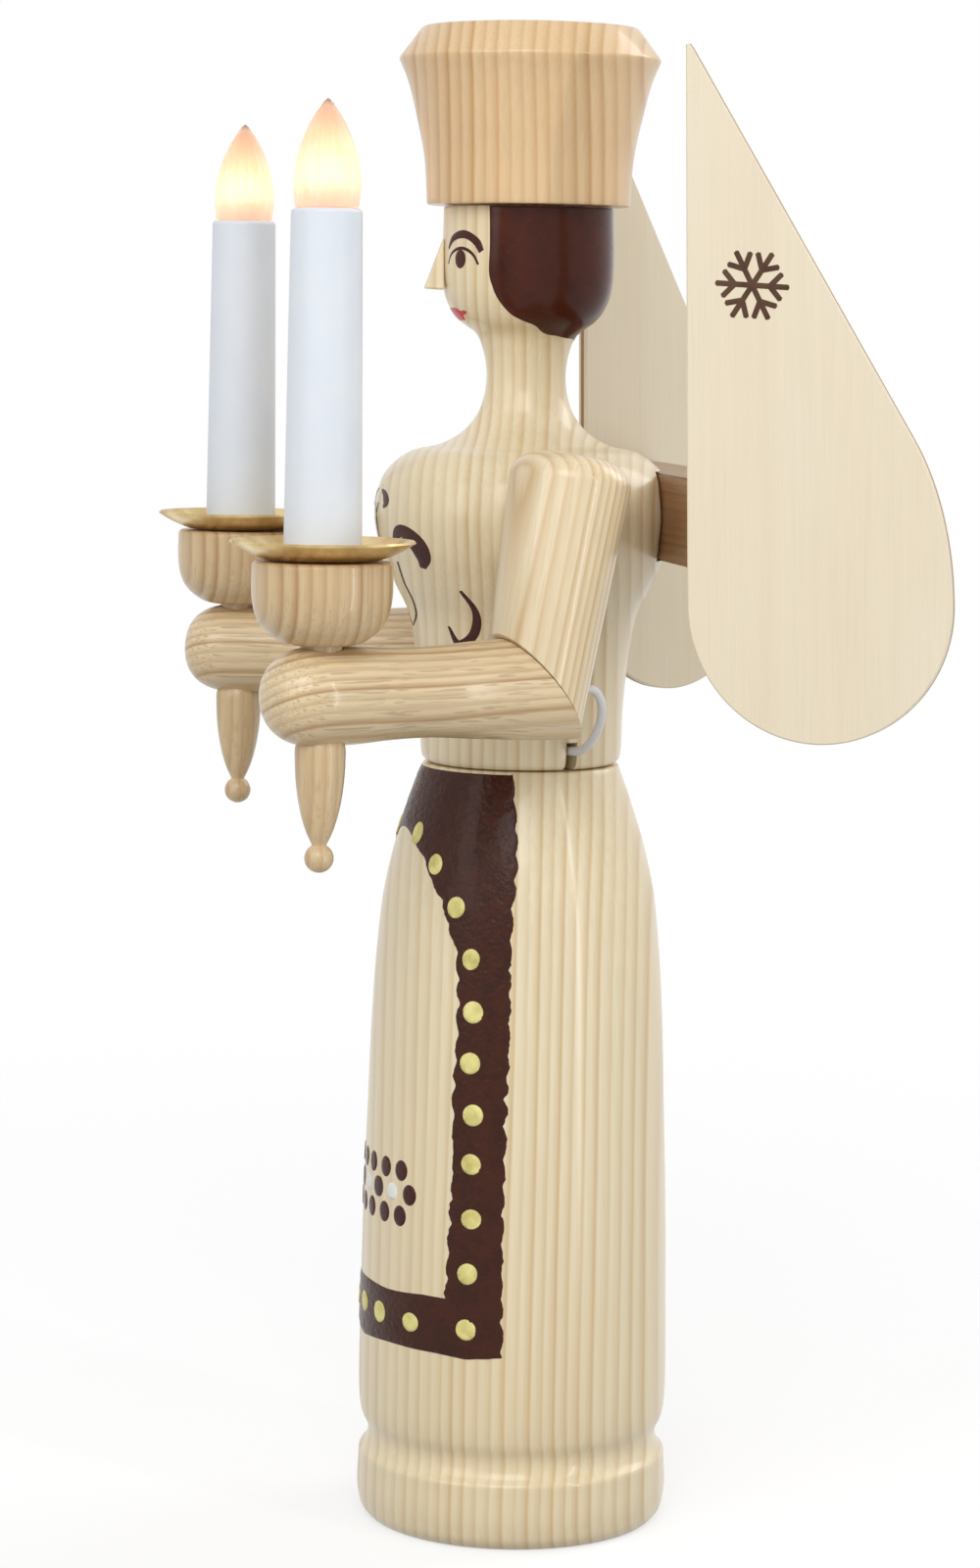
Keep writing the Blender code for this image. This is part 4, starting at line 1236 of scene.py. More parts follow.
@dataclass
class Torso(PaintedPart):
    """The turned bodice, shoulders, neck and head, with the nose and what is painted on them."""

    segments: int = 180
    unit: float = 0.0205
    hair_px: tuple[Point, ...] = (
        (500, 205), (500, 250), (500, 284), (502, 290), (506, 301), (514, 313), (522, 321), (531, 326),
        (547, 333), (552, 338), (569, 343), (588, 347),
    )
    nape: float = 0.2645
    brow_px: tuple[Point, ...] = (
        (458.2, 253.7), (461.8, 244.5), (467.3, 240.0), (473.9, 239.0), (481.6, 242.4), (487.8, 248.6),
        (491.4, 256.7),
    )
    lid_px: tuple[Point, ...] = (
        (457.8, 269.0), (460.6, 259.8), (465.7, 254.7), (471.4, 253.3), (477.6, 255.3), (483.7, 260.8),
        (488.2, 270.0),
    )
    pupil_px: Point = (469.8, 264.3)
    pupil_radius: float = 0.0021
    mouth_px: tuple[Point, ...] = (
        (464.9, 313.9), (467.0, 315.0), (470.5, 317.5), (473.0, 316.5), (477.0, 318.0), (475.5, 320.8),
        (472.6, 321.5), (474.0, 324.0), (475.5, 327.0),
    )
    comma_px: tuple[Point, ...] = ((390, 499), (393, 505), (394, 512), (391, 518))
    comma_tail_px: tuple[Point, ...] = ((384, 512), (385, 531), (388, 551))
    drop_px: tuple[Point, ...] = ((402, 553), (409, 542), (425, 555), (432, 569), (432, 580))
    drop_tail_px: tuple[Point, ...] = ((406, 573), (413, 595), (421, 611), (425, 627), (422, 638))
    hook_px: tuple[Point, ...] = ((470, 603), (485, 624), (487, 633), (480, 652), (469, 657), (458, 639))
    notch_size: tuple[float, float, float] = (0.0240, 0.0028, 0.0070)
    notch_angle: float = math.radians(18.0)
    notch_out: float = 0.0160
    notch_rise: float = 0.0027
    nose_tip: float = 0.02
    nose_low_ridge: float = 0.45
    nose_high_ridge: float = 0.40

    def build(self) -> None:
        """Build the torso, the nose and the paint."""
        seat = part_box("hat")[0].z
        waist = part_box("skirt")[1].z
        outer = ring_profile("torso", (0.0, 0.0), 0.005, waist, seat)
        self.surface = TurnedSurface(soften(outer), self.unit)
        profile = soften([(0.0, outer[0][1]), *outer, (0.0, outer[-1][1])])
        torso = new_piece("turned_torso", turn("turned_torso", profile, self.segments), self.finishes.body)
        carve(torso, self.tools(outer[-1][1]))
        fit_out(torso, "body_wood", "torso")
        self.build_nose()
        self.build_hair()
        self.build_face()
        self.build_scrolls()

    def tools(self, bottom: float) -> list[bpy.types.Object]:
        """Return the tools for the lead notches and the wing block's housing."""
        angle = self.notch_angle
        made = []
        for side in SIDES.values():
            place = Vector((math.cos(angle) * side, math.sin(angle), 0.0)) * self.notch_out
            made.append(box_tool(self.notch_size, place + UP * (bottom + self.notch_rise), angle * side))
        low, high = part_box("wing_block")
        spare = 0.04
        size = high - low + Vector((0.0, spare, 2 * FIT))
        made.append(box_tool(size, (low + high) / 2 + Vector((0.0, spare / 2 - FIT, 0.0))))
        return made

    def build_nose(self) -> None:
        """Build the wedge of the nose, narrow at its ridge."""
        low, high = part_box("nose")
        half = (high.x - low.x) / 2
        face = high.y
        tip = low.z + (high.z - low.z) * self.nose_tip
        shaping = bmesh.new()
        corners = []
        for side in (-1.0, 1.0):
            corners.append([
                shaping.verts.new((side * half, face, low.z)),
                shaping.verts.new((side * half * self.nose_low_ridge, low.y, tip)),
                shaping.verts.new((side * half * self.nose_high_ridge, face, high.z)),
            ])
        shaping.faces.new(corners[0])
        shaping.faces.new(reversed(corners[1]))
        for number in range(3):
            after = (number + 1) % 3
            shaping.faces.new((corners[0][after], corners[0][number], corners[1][number], corners[1][after]))
        nose = new_piece("wedge_nose", closed_mesh("wedge_nose", shaping), self.finishes.body, sharp=60.0)
        ease = nose.modifiers.new("ease", "BEVEL")
        ease.width = 0.0005
        ease.segments = 4
        ease.limit_method = "NONE"
        fit_out(nose, "body_wood", "nose")

    def both(self, name: str, loops: Sequence[list[Vector]], look: bpy.types.Material,
             film: float = 0.00010, base: float = 0.0) -> None:
        """Paint loops on the figure's left, and their mirror image on its right.

        Args:
            name: the paint's name without its side.
            loops: the left side's loops.
            look: its material.
            film: its thickness.
            base: how far it lies off the wood.
        """
        for side, shapes in (("left", loops), ("right", [flipped(loop) for loop in loops])):
            Paint(f"{name}_{side}", list(shapes), self.surface, film=film, cell=0.0006,
                  base=base).lay(look, "body_wood")

    def build_hair(self) -> None:
        """Paint the hair round the back of the head, from one temple to the other."""
        edge = self.seen(self.hair_px)
        edge[0].y = self.surface.heights[-1] - 0.0001
        half_round = math.pi * self.unit
        side = catmull(edge, False, 6)
        back = Vector((half_round, self.nape))
        sweep = catmull([side[-1], Vector(((side[-1].x + back.x) / 2, self.nape + 0.0002)), back], False, 6)
        left = side + sweep[1:]
        loop = left + flipped(left, half_round)[1:]
        Paint("hair", [loop], self.surface, film=0.00015, cell=0.0011).lay(self.finishes.hair, "body_wood")

    def build_face(self) -> None:
        """Paint brows, eyes and mouth."""
        brown = self.finishes.brown
        brow = stroke(self.seen(self.brow_px), (0.0007, 0.0014, 0.0017, 0.0018, 0.0018, 0.0019, 0.0015))
        lid = stroke(self.seen(self.lid_px), (0.0005, 0.0006, 0.0007, 0.00075, 0.00075, 0.0007, 0.0006))
        pupil = disc(self.seen([self.pupil_px])[0], self.pupil_radius, 0.95)
        self.both("brow", [brow], brown)
        self.both("lid", [lid], brown)
        self.both("pupil", [pupil], brown)
        edge = self.seen(self.mouth_px)
        half = [Vector((0.0, edge[0].y)), *edge, Vector((0.0, edge[-1].y))]
        Paint("lips", [half + flipped(half)[1:-1]], self.surface, film=0.00010,
              cell=0.0006).lay(self.finishes.red, "body_wood")

    def build_scrolls(self) -> None:
        """Paint the scrolls on the bodice."""
        comma = stroke(self.seen(self.comma_px), (0.0004, 0.0016, 0.0020, 0.0006))
        comma_tail = stroke(self.seen(self.comma_tail_px), (0.0006, 0.0006, 0.0004))
        drop = stroke(self.seen(self.drop_px), (0.0008, 0.0030, 0.0036, 0.0030, 0.0012))
        drop_tail = stroke(self.seen(self.drop_tail_px), (0.0006, 0.0007, 0.0007, 0.0008, 0.0005))
        hook = stroke(self.seen(self.hook_px), (0.0006, 0.0013, 0.0017, 0.0019, 0.0016, 0.0005))
        self.both("scroll_comma", [comma, comma_tail], self.finishes.brown)
        self.both("scroll_drop", [drop, drop_tail], self.finishes.brown)
        self.both("scroll_hook", [hook], self.finishes.brown)


@dataclass
class Hat:
    """The flared, turned hat."""

    finishes: Finishes
    segments: int = 180
    least: float = 0.0142
    hole: float = 0.0123

    def build(self) -> None:
        """Build the hat as a smooth turning."""
        low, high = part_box("hat")
        outer = ring_profile("hat", (0.0, 0.0), self.least)
        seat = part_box("torso")[1].z + FIT
        profile = soften([(0.0, high.z), *outer, (self.hole, low.z), (self.hole, seat), (0.0, seat)])
        hat = new_piece("turned_hat", turn("turned_hat", profile, self.segments), self.finishes.hat)
        fit_out(hat, "hat_wood", "hat")


@dataclass
class Arm:
    """One arm: a turned upper arm, a forearm with a round hand, and the lead that leaves its elbow."""

    side: str
    finishes: Finishes
    shoulder: Vector
    elbow: Vector
    upper_radius: float = 0.0133
    elbow_radius: float = 0.0113
    hand_radius: float = 0.0105
    wrist_radius: float = 0.0096
    hand_reach: float = 0.0128
    hand_length: float = 0.0200
    bore: float = 0.0025
    rounding: float = 0.0060
    cup_socket: float = 0.0048
    finial_socket: float = 0.0035
    socket_depth: float = 0.0040
    segments: int = 96

    def build(self) -> None:
        """Build both halves of the arm, and finish its lead and dowel."""
        sign = SIDES[self.side]
        self.shoulder = Vector((self.shoulder.x * sign, self.shoulder.y, self.shoulder.z))
        self.elbow = Vector((self.elbow.x * sign, self.elbow.y, self.elbow.z))
        low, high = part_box(f"candle_sleeve_{self.side}")
        self.candle = Vector(((low.x + high.x) / 2, (low.y + high.y) / 2, self.elbow.z))
        self.ahead = (self.candle - self.elbow).normalized()
        self.build_upper()
        self.build_forearm()
        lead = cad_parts[f"lamp_lead_{self.side}"]
        dress(lead, self.finishes.lead)
        joined = lead.modifiers.new("joined", "WELD")
        joined.merge_threshold = 0.00002
        smooth = lead.modifiers.new("smooth", "SUBSURF")
        smooth.levels = 2
        smooth.render_levels = 2
        dress(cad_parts[f"shoulder_dowel_{self.side}"], self.finishes.raw)

    def mitre_tool(self, towards_hand: bool) -> bpy.types.Object:
        """Return a box on one side of the elbow's mitre plane.

        Args:
            towards_hand: True where the box lies on the hand's side.

        Returns:
            The tool.
        """
        up_arm = (self.shoulder - self.elbow).normalized()
        normal = (self.ahead - up_arm).normalized() * (1.0 if towards_hand else -1.0)
        reach = 0.12
        tool = box_tool((reach,) * 3, self.elbow + normal * (reach / 2 - FIT / 3))
        tool.rotation_euler = normal.to_track_quat("Z", "Y").to_euler()
        return tool

    def bore_tool(self) -> bpy.types.Object:
        """Return the straight bore for the lead, through the forearm and the elbow's back."""
        return rod_tool(self.candle, self.elbow - self.ahead * self.elbow_radius * 2, self.bore)

    def build_upper(self) -> None:
        """Build the upper arm, hollowed to the body's round."""
        length = (self.shoulder - self.elbow).length
        wide, deep = self.rounding * 1.3, self.rounding
        corner = [
            (self.upper_radius - wide * (1 - math.sin(angle)), -deep * (1 - math.cos(angle)))
            for angle in (math.radians(share * 9.0) for share in range(11))
        ]
        spare = self.elbow_radius * 1.9
        thin = self.elbow_radius - (self.upper_radius - self.elbow_radius) / length * spare
        low = -length - spare
        profile = [(0.0, 0.0), *corner, (self.elbow_radius, -length), (thin, low), (0.0, low)]
        name = f"turned_upper_arm_{self.side}"
        piece = new_piece(name, turn(name, profile, self.segments), self.finishes.upper_arm)
        piece.rotation_euler = (self.shoulder - self.elbow).to_track_quat("Z", "Y").to_euler()
        piece.location = self.shoulder
        outer = ring_profile("torso", (0.0, 0.0), 0.005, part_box("skirt")[1].z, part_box("hat")[0].z)
        round_profile = [(0.0, outer[0][1]), *[(radius + FIT, height) for radius, height in soften(outer)],
                         (0.0, outer[-1][1])]
        body_round = new_piece("tool", turn("tool", round_profile, 120))
        carve(piece, [self.mitre_tool(True), body_round, self.bore_tool()])
        fit_out(piece, "body_wood", f"upper_arm_{self.side}")

    def build_forearm(self) -> None:
        """Build the forearm with its round hand."""
        length = (self.candle - self.elbow).length
        spare = self.elbow_radius * 1.6
        end = [
            (self.hand_radius * math.sin(angle) ** 0.8, self.hand_reach * max(math.cos(angle), 0.0) ** 0.8)
            for angle in (math.radians(share * 6.0) for share in range(1, 15))
        ]
        run = catmull([Vector(point) for point in (
            (self.hand_radius, 0.0), (self.hand_radius * 0.985, -self.hand_length * 0.4),
            (self.wrist_radius * 1.02, -self.hand_length * 0.8), (self.wrist_radius, -self.hand_length * 1.2),
            ((self.wrist_radius + self.elbow_radius) / 2, -length * 0.72), (self.elbow_radius, -length),
            (self.elbow_radius, -length - spare),
        )], False, 6)
        profile = [(0.0, self.hand_reach), *end, *[tuple(point) for point in run], (0.0, -length - spare)]
        name = f"turned_forearm_{self.side}"
        piece = new_piece(name, turn(name, profile, self.segments), self.finishes.forearm)
        piece.rotation_euler = self.ahead.to_track_quat("Z", "Y").to_euler()
        piece.location = self.candle
        top = self.candle + UP * self.hand_radius
        depth = UP * self.socket_depth
        riser = rod_tool(self.candle, top + depth, self.bore)
        cup_socket = rod_tool(top - depth, top + depth, self.cup_socket)
        under = self.candle - UP * self.hand_radius
        finial_socket = rod_tool(under - depth, under + depth + UP * 0.0005, self.finial_socket)
        carve(piece, [self.mitre_tool(False), self.bore_tool(), riser, cup_socket, finial_socket])
        fit_out(piece, "arm_wood", f"forearm_{self.side}")


def dress(node: bpy.types.Object, look: bpy.types.Material) -> None:
    """Give a CAD node that stays one material all over."""
    node.data.materials.clear()
    node.data.materials.append(look)
    LOG.info("%s: %s", node.name, look.name)


@dataclass
class Candle:
    """One candle: finial, cup, drip plate, sleeve, lamp holder, bulb and the glow inside it."""

    side: str
    finishes: Finishes
    segments: int = 120
    ribs: int = 22
    rib_depth: float = 0.045
    glass: float = 0.0006
    hole: float = 0.0045
    cup_bore: float = 0.0025
    plate_floor: float = 0.605
    plate_wall: float = 0.0005
    sleeve_bore: float = 0.0063
    sleeve_taper: float = 0.909
    sleeve_round: float = 0.0010
    lamp_shares: tuple[Point, ...] = (
        (0.80, 0.0), (0.74, 0.0013), (0.62, 0.0027), (0.48, 0.0040), (0.32, 0.0047), (0.18, 0.0046),
        (0.08, 0.0040), (0.03, 0.0030), (0.03, 0.0),
    )
    thread_radius: float = 0.0046
    thread_depth: float = 0.0003
    thread_length: float = 0.0110
    thread_steps: int = 32

    def build(self) -> None:
        """Build every piece of the candle on its own axis."""
        low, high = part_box(f"candle_sleeve_{self.side}")
        self.axis = Vector(((low.x + high.x) / 2, (low.y + high.y) / 2, 0.0))
        self.build_cup()
        self.build_plate()
        self.build_sleeve()
        self.build_bulb()
        self.build_finial()
        dress(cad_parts[f"lamp_holder_{self.side}"], self.finishes.holder)

    def turned(self, name: str, profile: Sequence[Point], look: bpy.types.Material, slot: str, node: str,
               shape: Optional[Callable[[float, float], float]] = None) -> bpy.types.Object:
        """Turn one of the candle's pieces on its axis.

        Args:
            name: the piece's name without its side.
            profile: its profile.
            look: its material.
            slot: the record's slot.
            node: the CAD node it stands for.
            shape: a factor on the radius, for ribs.

        Returns:
            The piece, standing at the candle's axis.
        """
        full = f"{name}_{self.side}"
        piece = new_piece(full, turn(full, profile, self.segments, shape=shape), look)
        piece.location = self.axis
        return fit_out(piece, slot, f"{node}_{self.side}")

    def build_cup(self) -> None:
        """Build the turned bowl on the hand."""
        node = f"candle_cup_{self.side}"
        low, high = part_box(node)
        outer = ring_profile(node, self.axis[:2], 0.0055)
        hole, bore, floor = self.hole, self.cup_bore, high.z - 0.0045
        profile = soften([(hole, high.z), *outer, (hole, outer[-1][1]), (hole, low.z), (bore, low.z),
                          (bore, floor), (hole, floor)], edge=0.0003)
        self.turned("turned_cup", profile, self.finishes.cup, "cup_wood", "candle_cup")

    def build_plate(self) -> None:
        """Build the pressed brass dish with its thin rolled rim."""
        low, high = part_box(f"drip_plate_{self.side}")
        rim = (high.x - low.x) / 2
        floor, wall, hole = rim * self.plate_floor, self.plate_wall, self.hole
        rise = high.z - low.z - wall * 0.6
        inner = [(hole, low.z + wall)]
        under = [(hole, low.z)]
        for share in range(13):
            along = share / 12
            lift = rise * (0.62 * along + 0.38 * along ** 2)
            radius = floor + (rim - wall * 0.5 - floor) * along
            inner.append((radius - wall * 0.25 * along, low.z + wall + lift))
            under.append((radius + wall * 0.35, low.z + lift))
        loop = inner + [(rim - 0.00002, high.z - wall * 0.45)] + under[::-1]
        self.turned("brass_plate", loop, self.finishes.brass, "brass_plate", "drip_plate")

    def build_sleeve(self) -> None:
        """Build the white sleeve with its rounded shoulder."""
        node = f"candle_sleeve_{self.side}"
        low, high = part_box(node)
        foot, edge = (high.x - low.x) / 2, 0.0003
        top, bore, ease = foot * self.sleeve_taper, self.sleeve_bore, self.sleeve_round
        shoulder = [
            (top - ease * (1 - math.sin(angle)), high.z - ease * (1 - math.cos(angle)))
            for angle in (math.radians(share * 15.0) for share in range(7))
        ]
        profile = [(bore, high.z), *shoulder, (foot, low.z + edge), (foot - edge, low.z), (bore, low.z)]
        self.turned("white_sleeve", profile, self.finishes.sleeve, "sleeve_plastic", "candle_sleeve")

    def build_bulb(self) -> None:
        """Build the ribbed flame bulb and the hot lamp inside its lower half."""
        node = f"bulb_{self.side}"
        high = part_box(node)[1]
        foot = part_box(f"candle_sleeve_{self.side}")[1].z
        outer = [point for point in ring_profile(node, self.axis[:2], 0.0002) if point[1] >= foot]
        glass = soften([(0.0, high.z), *outer], step=0.0007)
        height = high.z - foot

        def ribbed(angle: float, level: float) -> float:
            """Return the glass's share of its crest radius at an angle and a height."""
            along = min(max((level - foot) / height, 0.0), 1.0)
            depth = self.rib_depth * min(1.0, along * 8) * (1 - along ** 3)
            return 1.0 - depth * (0.5 + 0.5 * math.cos(self.ribs * angle)) ** 2

        shell = self.glass
        inner = [(radius - shell, level - shell * 0.5) for radius, level in glass if radius > shell * 2]
        inner[0] = (0.0, inner[0][1])
        profile = [*glass, inner[-1], *reversed(inner)]
        finish = LitGlassFinish(f"lit_glass_{self.side}", foot, height).material()
        full = f"ribbed_bulb_{self.side}"
        piece = new_piece(full, turn(full, profile, self.ribs * 6, shape=ribbed), finish)
        piece.location = self.axis
        fit_out(piece, "lit_glass", node)
        self.build_lamp(foot, height)

    def build_lamp(self, foot: float, height: float) -> None:
        """Build the glowing lamp and the screw cap under the glass."""
        lamp = [(radius, foot + height * share) for share, radius in self.lamp_shares]
        full = f"hot_lamp_{self.side}"
        look = GlowFinish(full, foot, height).material()
        piece = new_piece(full, turn(full, soften(lamp, step=0.0006), 40), look)
        piece.location = self.axis
        fit_out(piece, "lit_glass")
        thread = []
        for step in range(self.thread_steps + 1):
            level = foot - FIT - self.thread_length * step / self.thread_steps
            thread.append((self.thread_radius - self.thread_depth * (step % 4 == 2), level))
        profile = [(0.0, thread[0][1]), *thread, (0.0, thread[-1][1])]
        cap = new_piece(f"screw_cap_{self.side}", turn("screw_cap", profile, 48), self.finishes.brass)
        cap.location = self.axis
        fit_out(cap, "lit_glass")

    def build_finial(self) -> None:
        """Build the spindle and ball under the hand."""
        node = f"bottom_finial_{self.side}"
        low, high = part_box(node)
        outer = ring_profile(node, self.axis[:2], 0.0004)
        profile = soften([(0.0, high.z), *outer, (0.0, low.z)], edge=0.0002, corner=math.radians(55.0))
        self.turned("turned_finial", profile, self.finishes.cup, "cup_wood", "bottom_finial")


@dataclass
class Wings:
    """The plywood wings with their burnt snowflakes, and the block behind the back."""

    finishes: Finishes
    splay: float = math.radians(29.4)
    lean: float = math.radians(1.07)
    thickness: float = 0.0030
    width: float = 0.0576
    round_height: float = 0.0295
    shoulder_rise: float = 0.0500
    bottom: float = 0.1800
    height: float = 0.1500
    inner_side: float = 0.0510
    inner_back: float = 0.0266
    flake_place: Point = (0.0145, 0.0975)
    flake_radius: float = 0.0079
    flake_stroke: float = 0.0012
    flake_turn: float = -4.0
    dowel_radius: float = 0.0033
    dowel_depth: float = 0.0123

    def build(self) -> None:
        """Build the block, both wings and their snowflakes."""
        self.build_block()
        for name, side in SIDES.items():
            placing = self.placing(side)
            self.build_wing(name, placing)
            self.build_flake(name, side, placing)

    def placing(self, side: float) -> Matrix:
        """Return the matrix that stands a wing on the block's end.

        Args:
            side: 1 for the left wing, -1 for the right one.

        Returns:
            The matrix.
        """
        along = Vector((math.sin(self.splay) * side, math.cos(self.splay), 0.0))
        outward = Vector((math.cos(self.splay) * side, -math.sin(self.splay), 0.0))
        corner = Vector((self.inner_side * side, self.inner_back, self.bottom)) + outward * self.thickness / 2
        made = Matrix((along, UP, along.cross(UP))).transposed().to_4x4()
        made.translation = corner
        return made @ Matrix.Rotation(self.lean, 4, "Z")

    def outline(self) -> list[Vector]:
        """Return the teardrop, in the wing's own plane."""
        half = self.width / 2
        outer = 2 * math.atan2(1.0, (self.height - self.round_height) / self.shoulder_rise)
        made = []
        for number in range(73):
            angle = math.pi + (math.pi + outer) * number / 72
            reach = self.shoulder_rise if angle > 2 * math.pi else self.round_height
            made.append(Vector((half + half * math.cos(angle), self.round_height + reach * math.sin(angle))))
        blunt = ((0.0014, 0.0020), (0.0006, 0.0009), (0.0, 0.0012))
        return made + [Vector((across, self.height - down)) for across, down in blunt]

    def build_wing(self, name: str, placing: Matrix) -> None:
        """Build one wing: two pale faces and a darker core along its eased edge.

        Args:
            name: the wing's side.
            placing: the matrix that stands it in its place.
        """
        outline = self.outline()
        ease = 0.0003
        half = self.thickness / 2
        layers = ((-half, ease), (-half + ease, 0.0), (-half / 3, 0.0),
                  (half / 3, 0.0), (half - ease, 0.0), (half, ease))
        shaping = bmesh.new()
        rings = []
        for level, inset in layers:
            ring = []
            for number, here in enumerate(outline):
                before, after = outline[number - 1], outline[(number + 1) % len(outline)]
                way = (after - before).normalized()
                place = here + Vector((-way.y, way.x)) * inset
                ring.append(shaping.verts.new((place.x, place.y, level)))
            rings.append(ring)
        for number, (lower, upper) in enumerate(zip(rings, rings[1:])):
            for step in range(len(outline)):
                after = (step + 1) % len(outline)
                face = shaping.faces.new((lower[step], lower[after], upper[after], upper[step]))
                face.material_index = 1 if number == 2 else 0
        for ring in (rings[0], rings[-1]):
            shaping.faces.new(ring)
        full, looks = f"plywood_wing_{name}", (self.finishes.ply, self.finishes.ply_core)
        wing = new_piece(full, closed_mesh(full, shaping), *looks, sharp=30.0)
        wing.matrix_world = placing
        fit_out(wing, "plywood", f"wing_{name}")

    def build_flake(self, name: str, side: float, placing: Matrix) -> None:
        """Build the snowflake on the wing's front face: six stems with forked ends.

        Args:
            name: the wing's side.
            side: that side's sign.
            placing: the matrix that stands the wing in its place.
        """
        centre = Vector(self.flake_place)
        half_stroke = self.flake_stroke / 2
        loops = []
        for arm in range(6):
            angle = math.radians(60.0 * arm + self.flake_turn)
            way = Vector((math.cos(angle), math.sin(angle)))
            across = Vector((-way.y, way.x))
            fork = centre + way * self.flake_radius * 0.56
            ends = [centre + way * self.flake_radius]
            ends += [centre + (way * 0.80 + across * reach) * self.flake_radius for reach in (0.34, -0.34)]
            for start, end in [(centre, fork)] + [(fork - way * half_stroke, end) for end in ends]:
                run = (end - start).normalized()
                edge = Vector((-run.y, run.x)) * half_stroke
                point = end + run * half_stroke * 0.5
                loops.append([start - edge, end - edge, point, end + edge, start + edge])
        surface = FlatSurface(self.thickness / 2 * side)
        film = Paint(f"snowflake_{name}", loops, surface, film=0.00008, cell=0.0006)
        piece = new_piece(film.name, film.mesh(), self.finishes.burnt, sharp=75.0)
        piece.matrix_world = placing
        fit_out(piece, "plywood")

    def build_block(self) -> None:
        """Build the block with eased edges, and finish its dowel."""
        low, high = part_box("wing_block")
        front = low.y
        depth = high.y - low.y
        end_gap = FIT / math.cos(self.splay)
        near = self.inner_side + (front - self.inner_back) * math.tan(self.splay) - end_gap
        far = near + depth * math.tan(self.splay)
        outline = ((-near, front), (near, front), (far, high.y), (-far, high.y))
        shaping = bmesh.new()
        rings = [[shaping.verts.new((x, y, level)) for x, y in outline] for level in (low.z, high.z)]
        for step in range(4):
            after = (step + 1) % 4
            shaping.faces.new((rings[0][step], rings[0][after], rings[1][after], rings[1][step]))
        for ring in rings:
            shaping.faces.new(ring)
        bmesh.ops.recalc_face_normals(shaping, faces=shaping.faces)
        bmesh.ops.bevel(shaping, geom=shaping.edges[:], offset=0.0004, segments=3, affect="EDGES")
        mesh = closed_mesh("carrier_block", shaping)
        # The block wears wood darkened as painted shade, standing for the torso's shadow on its front.
        block = new_piece("carrier_block", mesh, self.finishes.block, sharp=60.0)
        start = Vector((0.0, low.y - 0.002, (low.z + high.z) / 2))
        carve(block, [rod_tool(start, start + Vector((0.0, self.dowel_depth, 0.0)), self.dowel_radius)])
        fit_out(block, "block_wood", "wing_block")
        dress(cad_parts["wing_dowel"], self.finishes.raw)


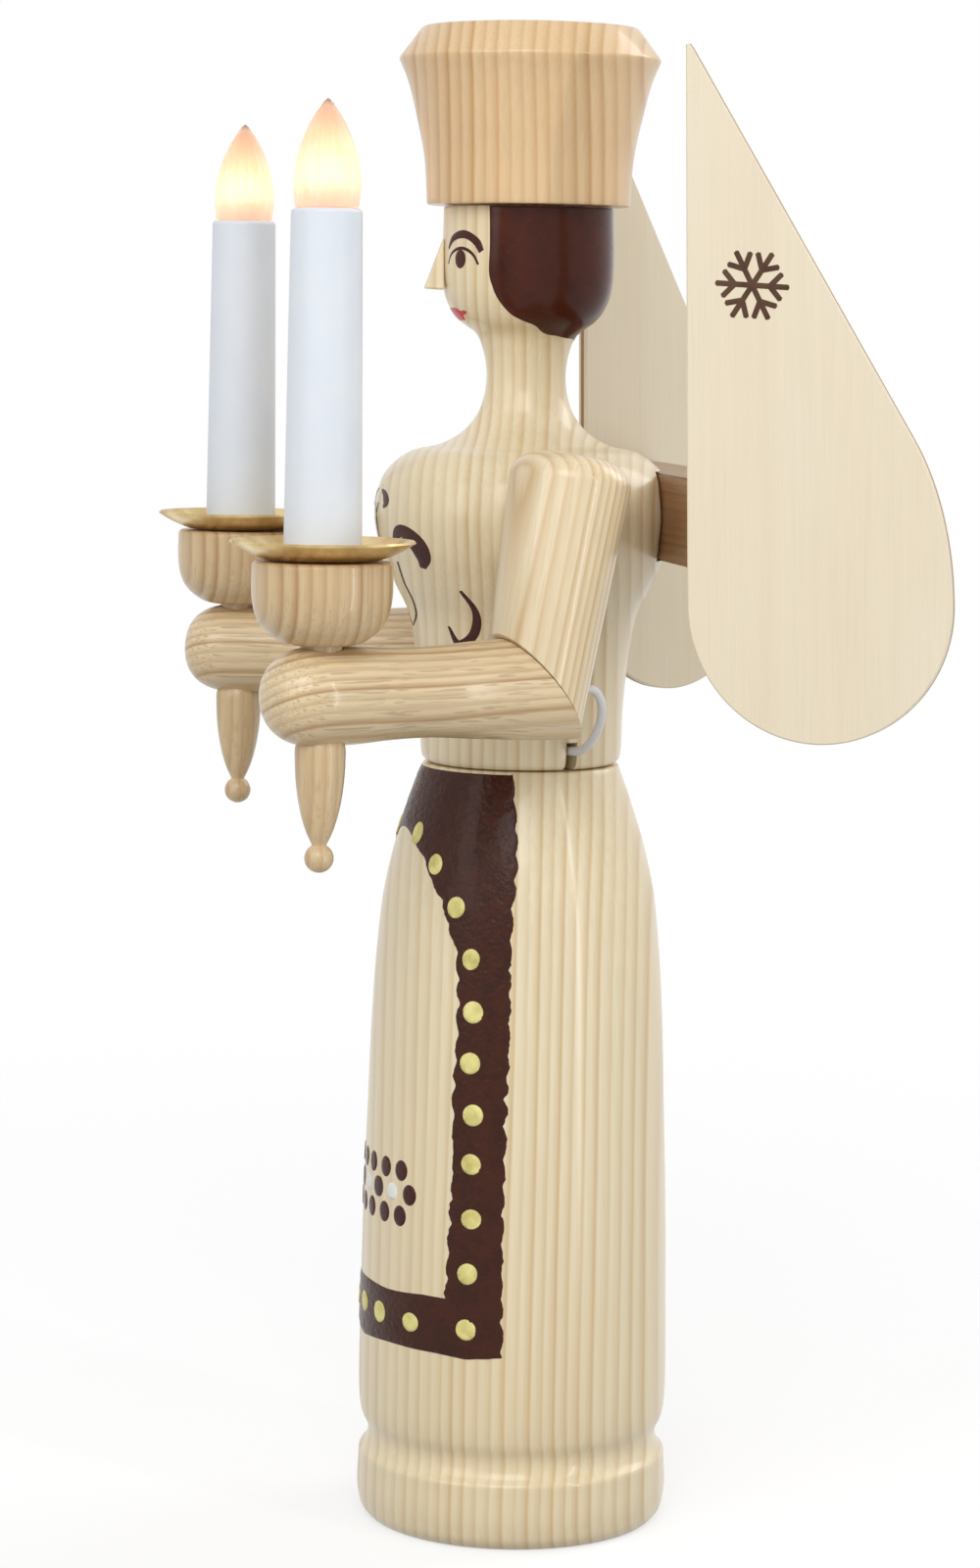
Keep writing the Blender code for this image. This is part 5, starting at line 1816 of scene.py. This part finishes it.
@dataclass
class Studio:
    """A pale floor, a white surround and soft lamps."""

    floor_size: float = 3.0
    aim_height: float = 0.17

    def build(self) -> None:
        """Build the floor, the surround and the lamps, and set how the image is shown."""
        bpy.context.scene.view_settings.view_transform = "Standard"
        self.build_floor()
        self.build_world()
        self.lamp("key", Vector((1.20, -0.35, 1.05)), (0.8, 0.8), 8.0)
        self.lamp("fill", Vector((0.75, -1.10, 0.75)), (0.7, 0.9), 4.0)
        self.lamp("rim", Vector((-0.4, 1.3, 1.0)), (0.8, 0.8), 6.0)
        self.lamp("strip", Vector((0.90, 0.70, 0.30)), (0.05, 1.2), 2.5)

    def build_floor(self) -> None:
        """Lay the floor, which fades out into the surround."""
        mesh = bpy.data.meshes.new("floor")
        half = self.floor_size / 2
        mesh.from_pydata([(-half, -half, 0.0), (half, -half, 0.0), (half, half, 0.0), (-half, half, 0.0)], [],
                         [(0, 1, 2, 3)])
        graph = Graph("floor")
        tree = graph.tree
        away = graph.vector("LENGTH", graph.place)
        fade = graph.ramp(graph.math("DIVIDE", away, half), ((0.10, 0.0), (0.42, 1.0)))
        path = tree.nodes.new("ShaderNodeLightPath")
        glow = tree.nodes.new("ShaderNodeEmission")
        seen = graph.math("MAXIMUM", path.outputs["Is Camera Ray"], path.outputs["Is Glossy Ray"])
        graph.feed(glow.inputs["Strength"], graph.math("MULTIPLY", seen, 0.62))
        matt = tree.nodes.new("ShaderNodeBsdfDiffuse")
        matt.inputs["Color"].default_value = (0.42, 0.42, 0.42, 1.0)
        added = tree.nodes.new("ShaderNodeAddShader")
        clear = tree.nodes.new("ShaderNodeBsdfTransparent")
        blend = tree.nodes.new("ShaderNodeMixShader")
        tree.links.new(matt.outputs[0], added.inputs[0])
        tree.links.new(glow.outputs[0], added.inputs[1])
        tree.links.new(fade, blend.inputs[0])
        tree.links.new(added.outputs[0], blend.inputs[1])
        tree.links.new(clear.outputs[0], blend.inputs[2])
        tree.links.new(blend.outputs[0], graph.output.inputs["Surface"])
        tree.nodes.remove(graph.shader)
        floor = new_piece("floor", mesh, graph.material)
        floor.location = (0.0, 0.0, -0.0002)

    def build_world(self) -> None:
        """Make the surround white where the camera sees it, and an even soft light elsewhere."""
        world = bpy.data.worlds.new("surround")
        bpy.context.scene.world = world
        world.use_nodes = True
        tree = world.node_tree
        background = tree.nodes["Background"]
        path = tree.nodes.new("ShaderNodeLightPath")
        seen = tree.nodes.new("ShaderNodeMath")
        seen.operation = "MAXIMUM"
        tree.links.new(path.outputs["Is Camera Ray"], seen.inputs[0])
        tree.links.new(path.outputs["Is Transmission Ray"], seen.inputs[1])
        shown = tree.nodes.new("ShaderNodeMath")
        shown.operation = "MAXIMUM"
        tree.links.new(seen.outputs[0], shown.inputs[0])
        tree.links.new(path.outputs["Is Glossy Ray"], shown.inputs[1])
        level = tree.nodes.new("ShaderNodeMapRange")
        level.inputs["To Min"].default_value = 0.54
        level.inputs["To Max"].default_value = 1.0
        tree.links.new(shown.outputs[0], level.inputs["Value"])
        tree.links.new(level.outputs["Result"], background.inputs["Strength"])
        background.inputs["Color"].default_value = (1.0, 1.0, 1.0, 1.0)

    def lamp(self, name: str, place: Vector, size: Point, power: float) -> None:
        """Place a soft lamp that looks at the figure's middle.

        Args:
            name: the lamp's name.
            place: where it stands.
            size: its width and height in metres.
            power: its power in watts.
        """
        light = bpy.data.lights.new(name, "AREA")
        light.shape = "RECTANGLE"
        light.size, light.size_y = size
        light.energy = power
        thing = bpy.data.objects.new(name, light)
        bpy.context.scene.collection.objects.link(thing)
        thing.location = place
        thing.rotation_euler = (place - UP * self.aim_height).to_track_quat("Z", "Y").to_euler()


def main() -> None:
    """Build the figure and its studio."""
    logging.basicConfig(level=logging.INFO, format="%(name)s %(message)s")
    view = PhotoView()
    view.make_camera()
    finishes = Finishes()
    Studio().build()
    Skirt(finishes, view).build()
    Torso(finishes, view).build()
    Hat(finishes).build()
    Wings(finishes).build()
    for side in SIDES:
        Arm(side, finishes, SHOULDER, ELBOW).build()
        Candle(side, finishes).build()
    dress(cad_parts["base_cover"], finishes.cover)
    dress(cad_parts["terminal_block"], finishes.terminal)


if __name__ == "__main__":
    main()
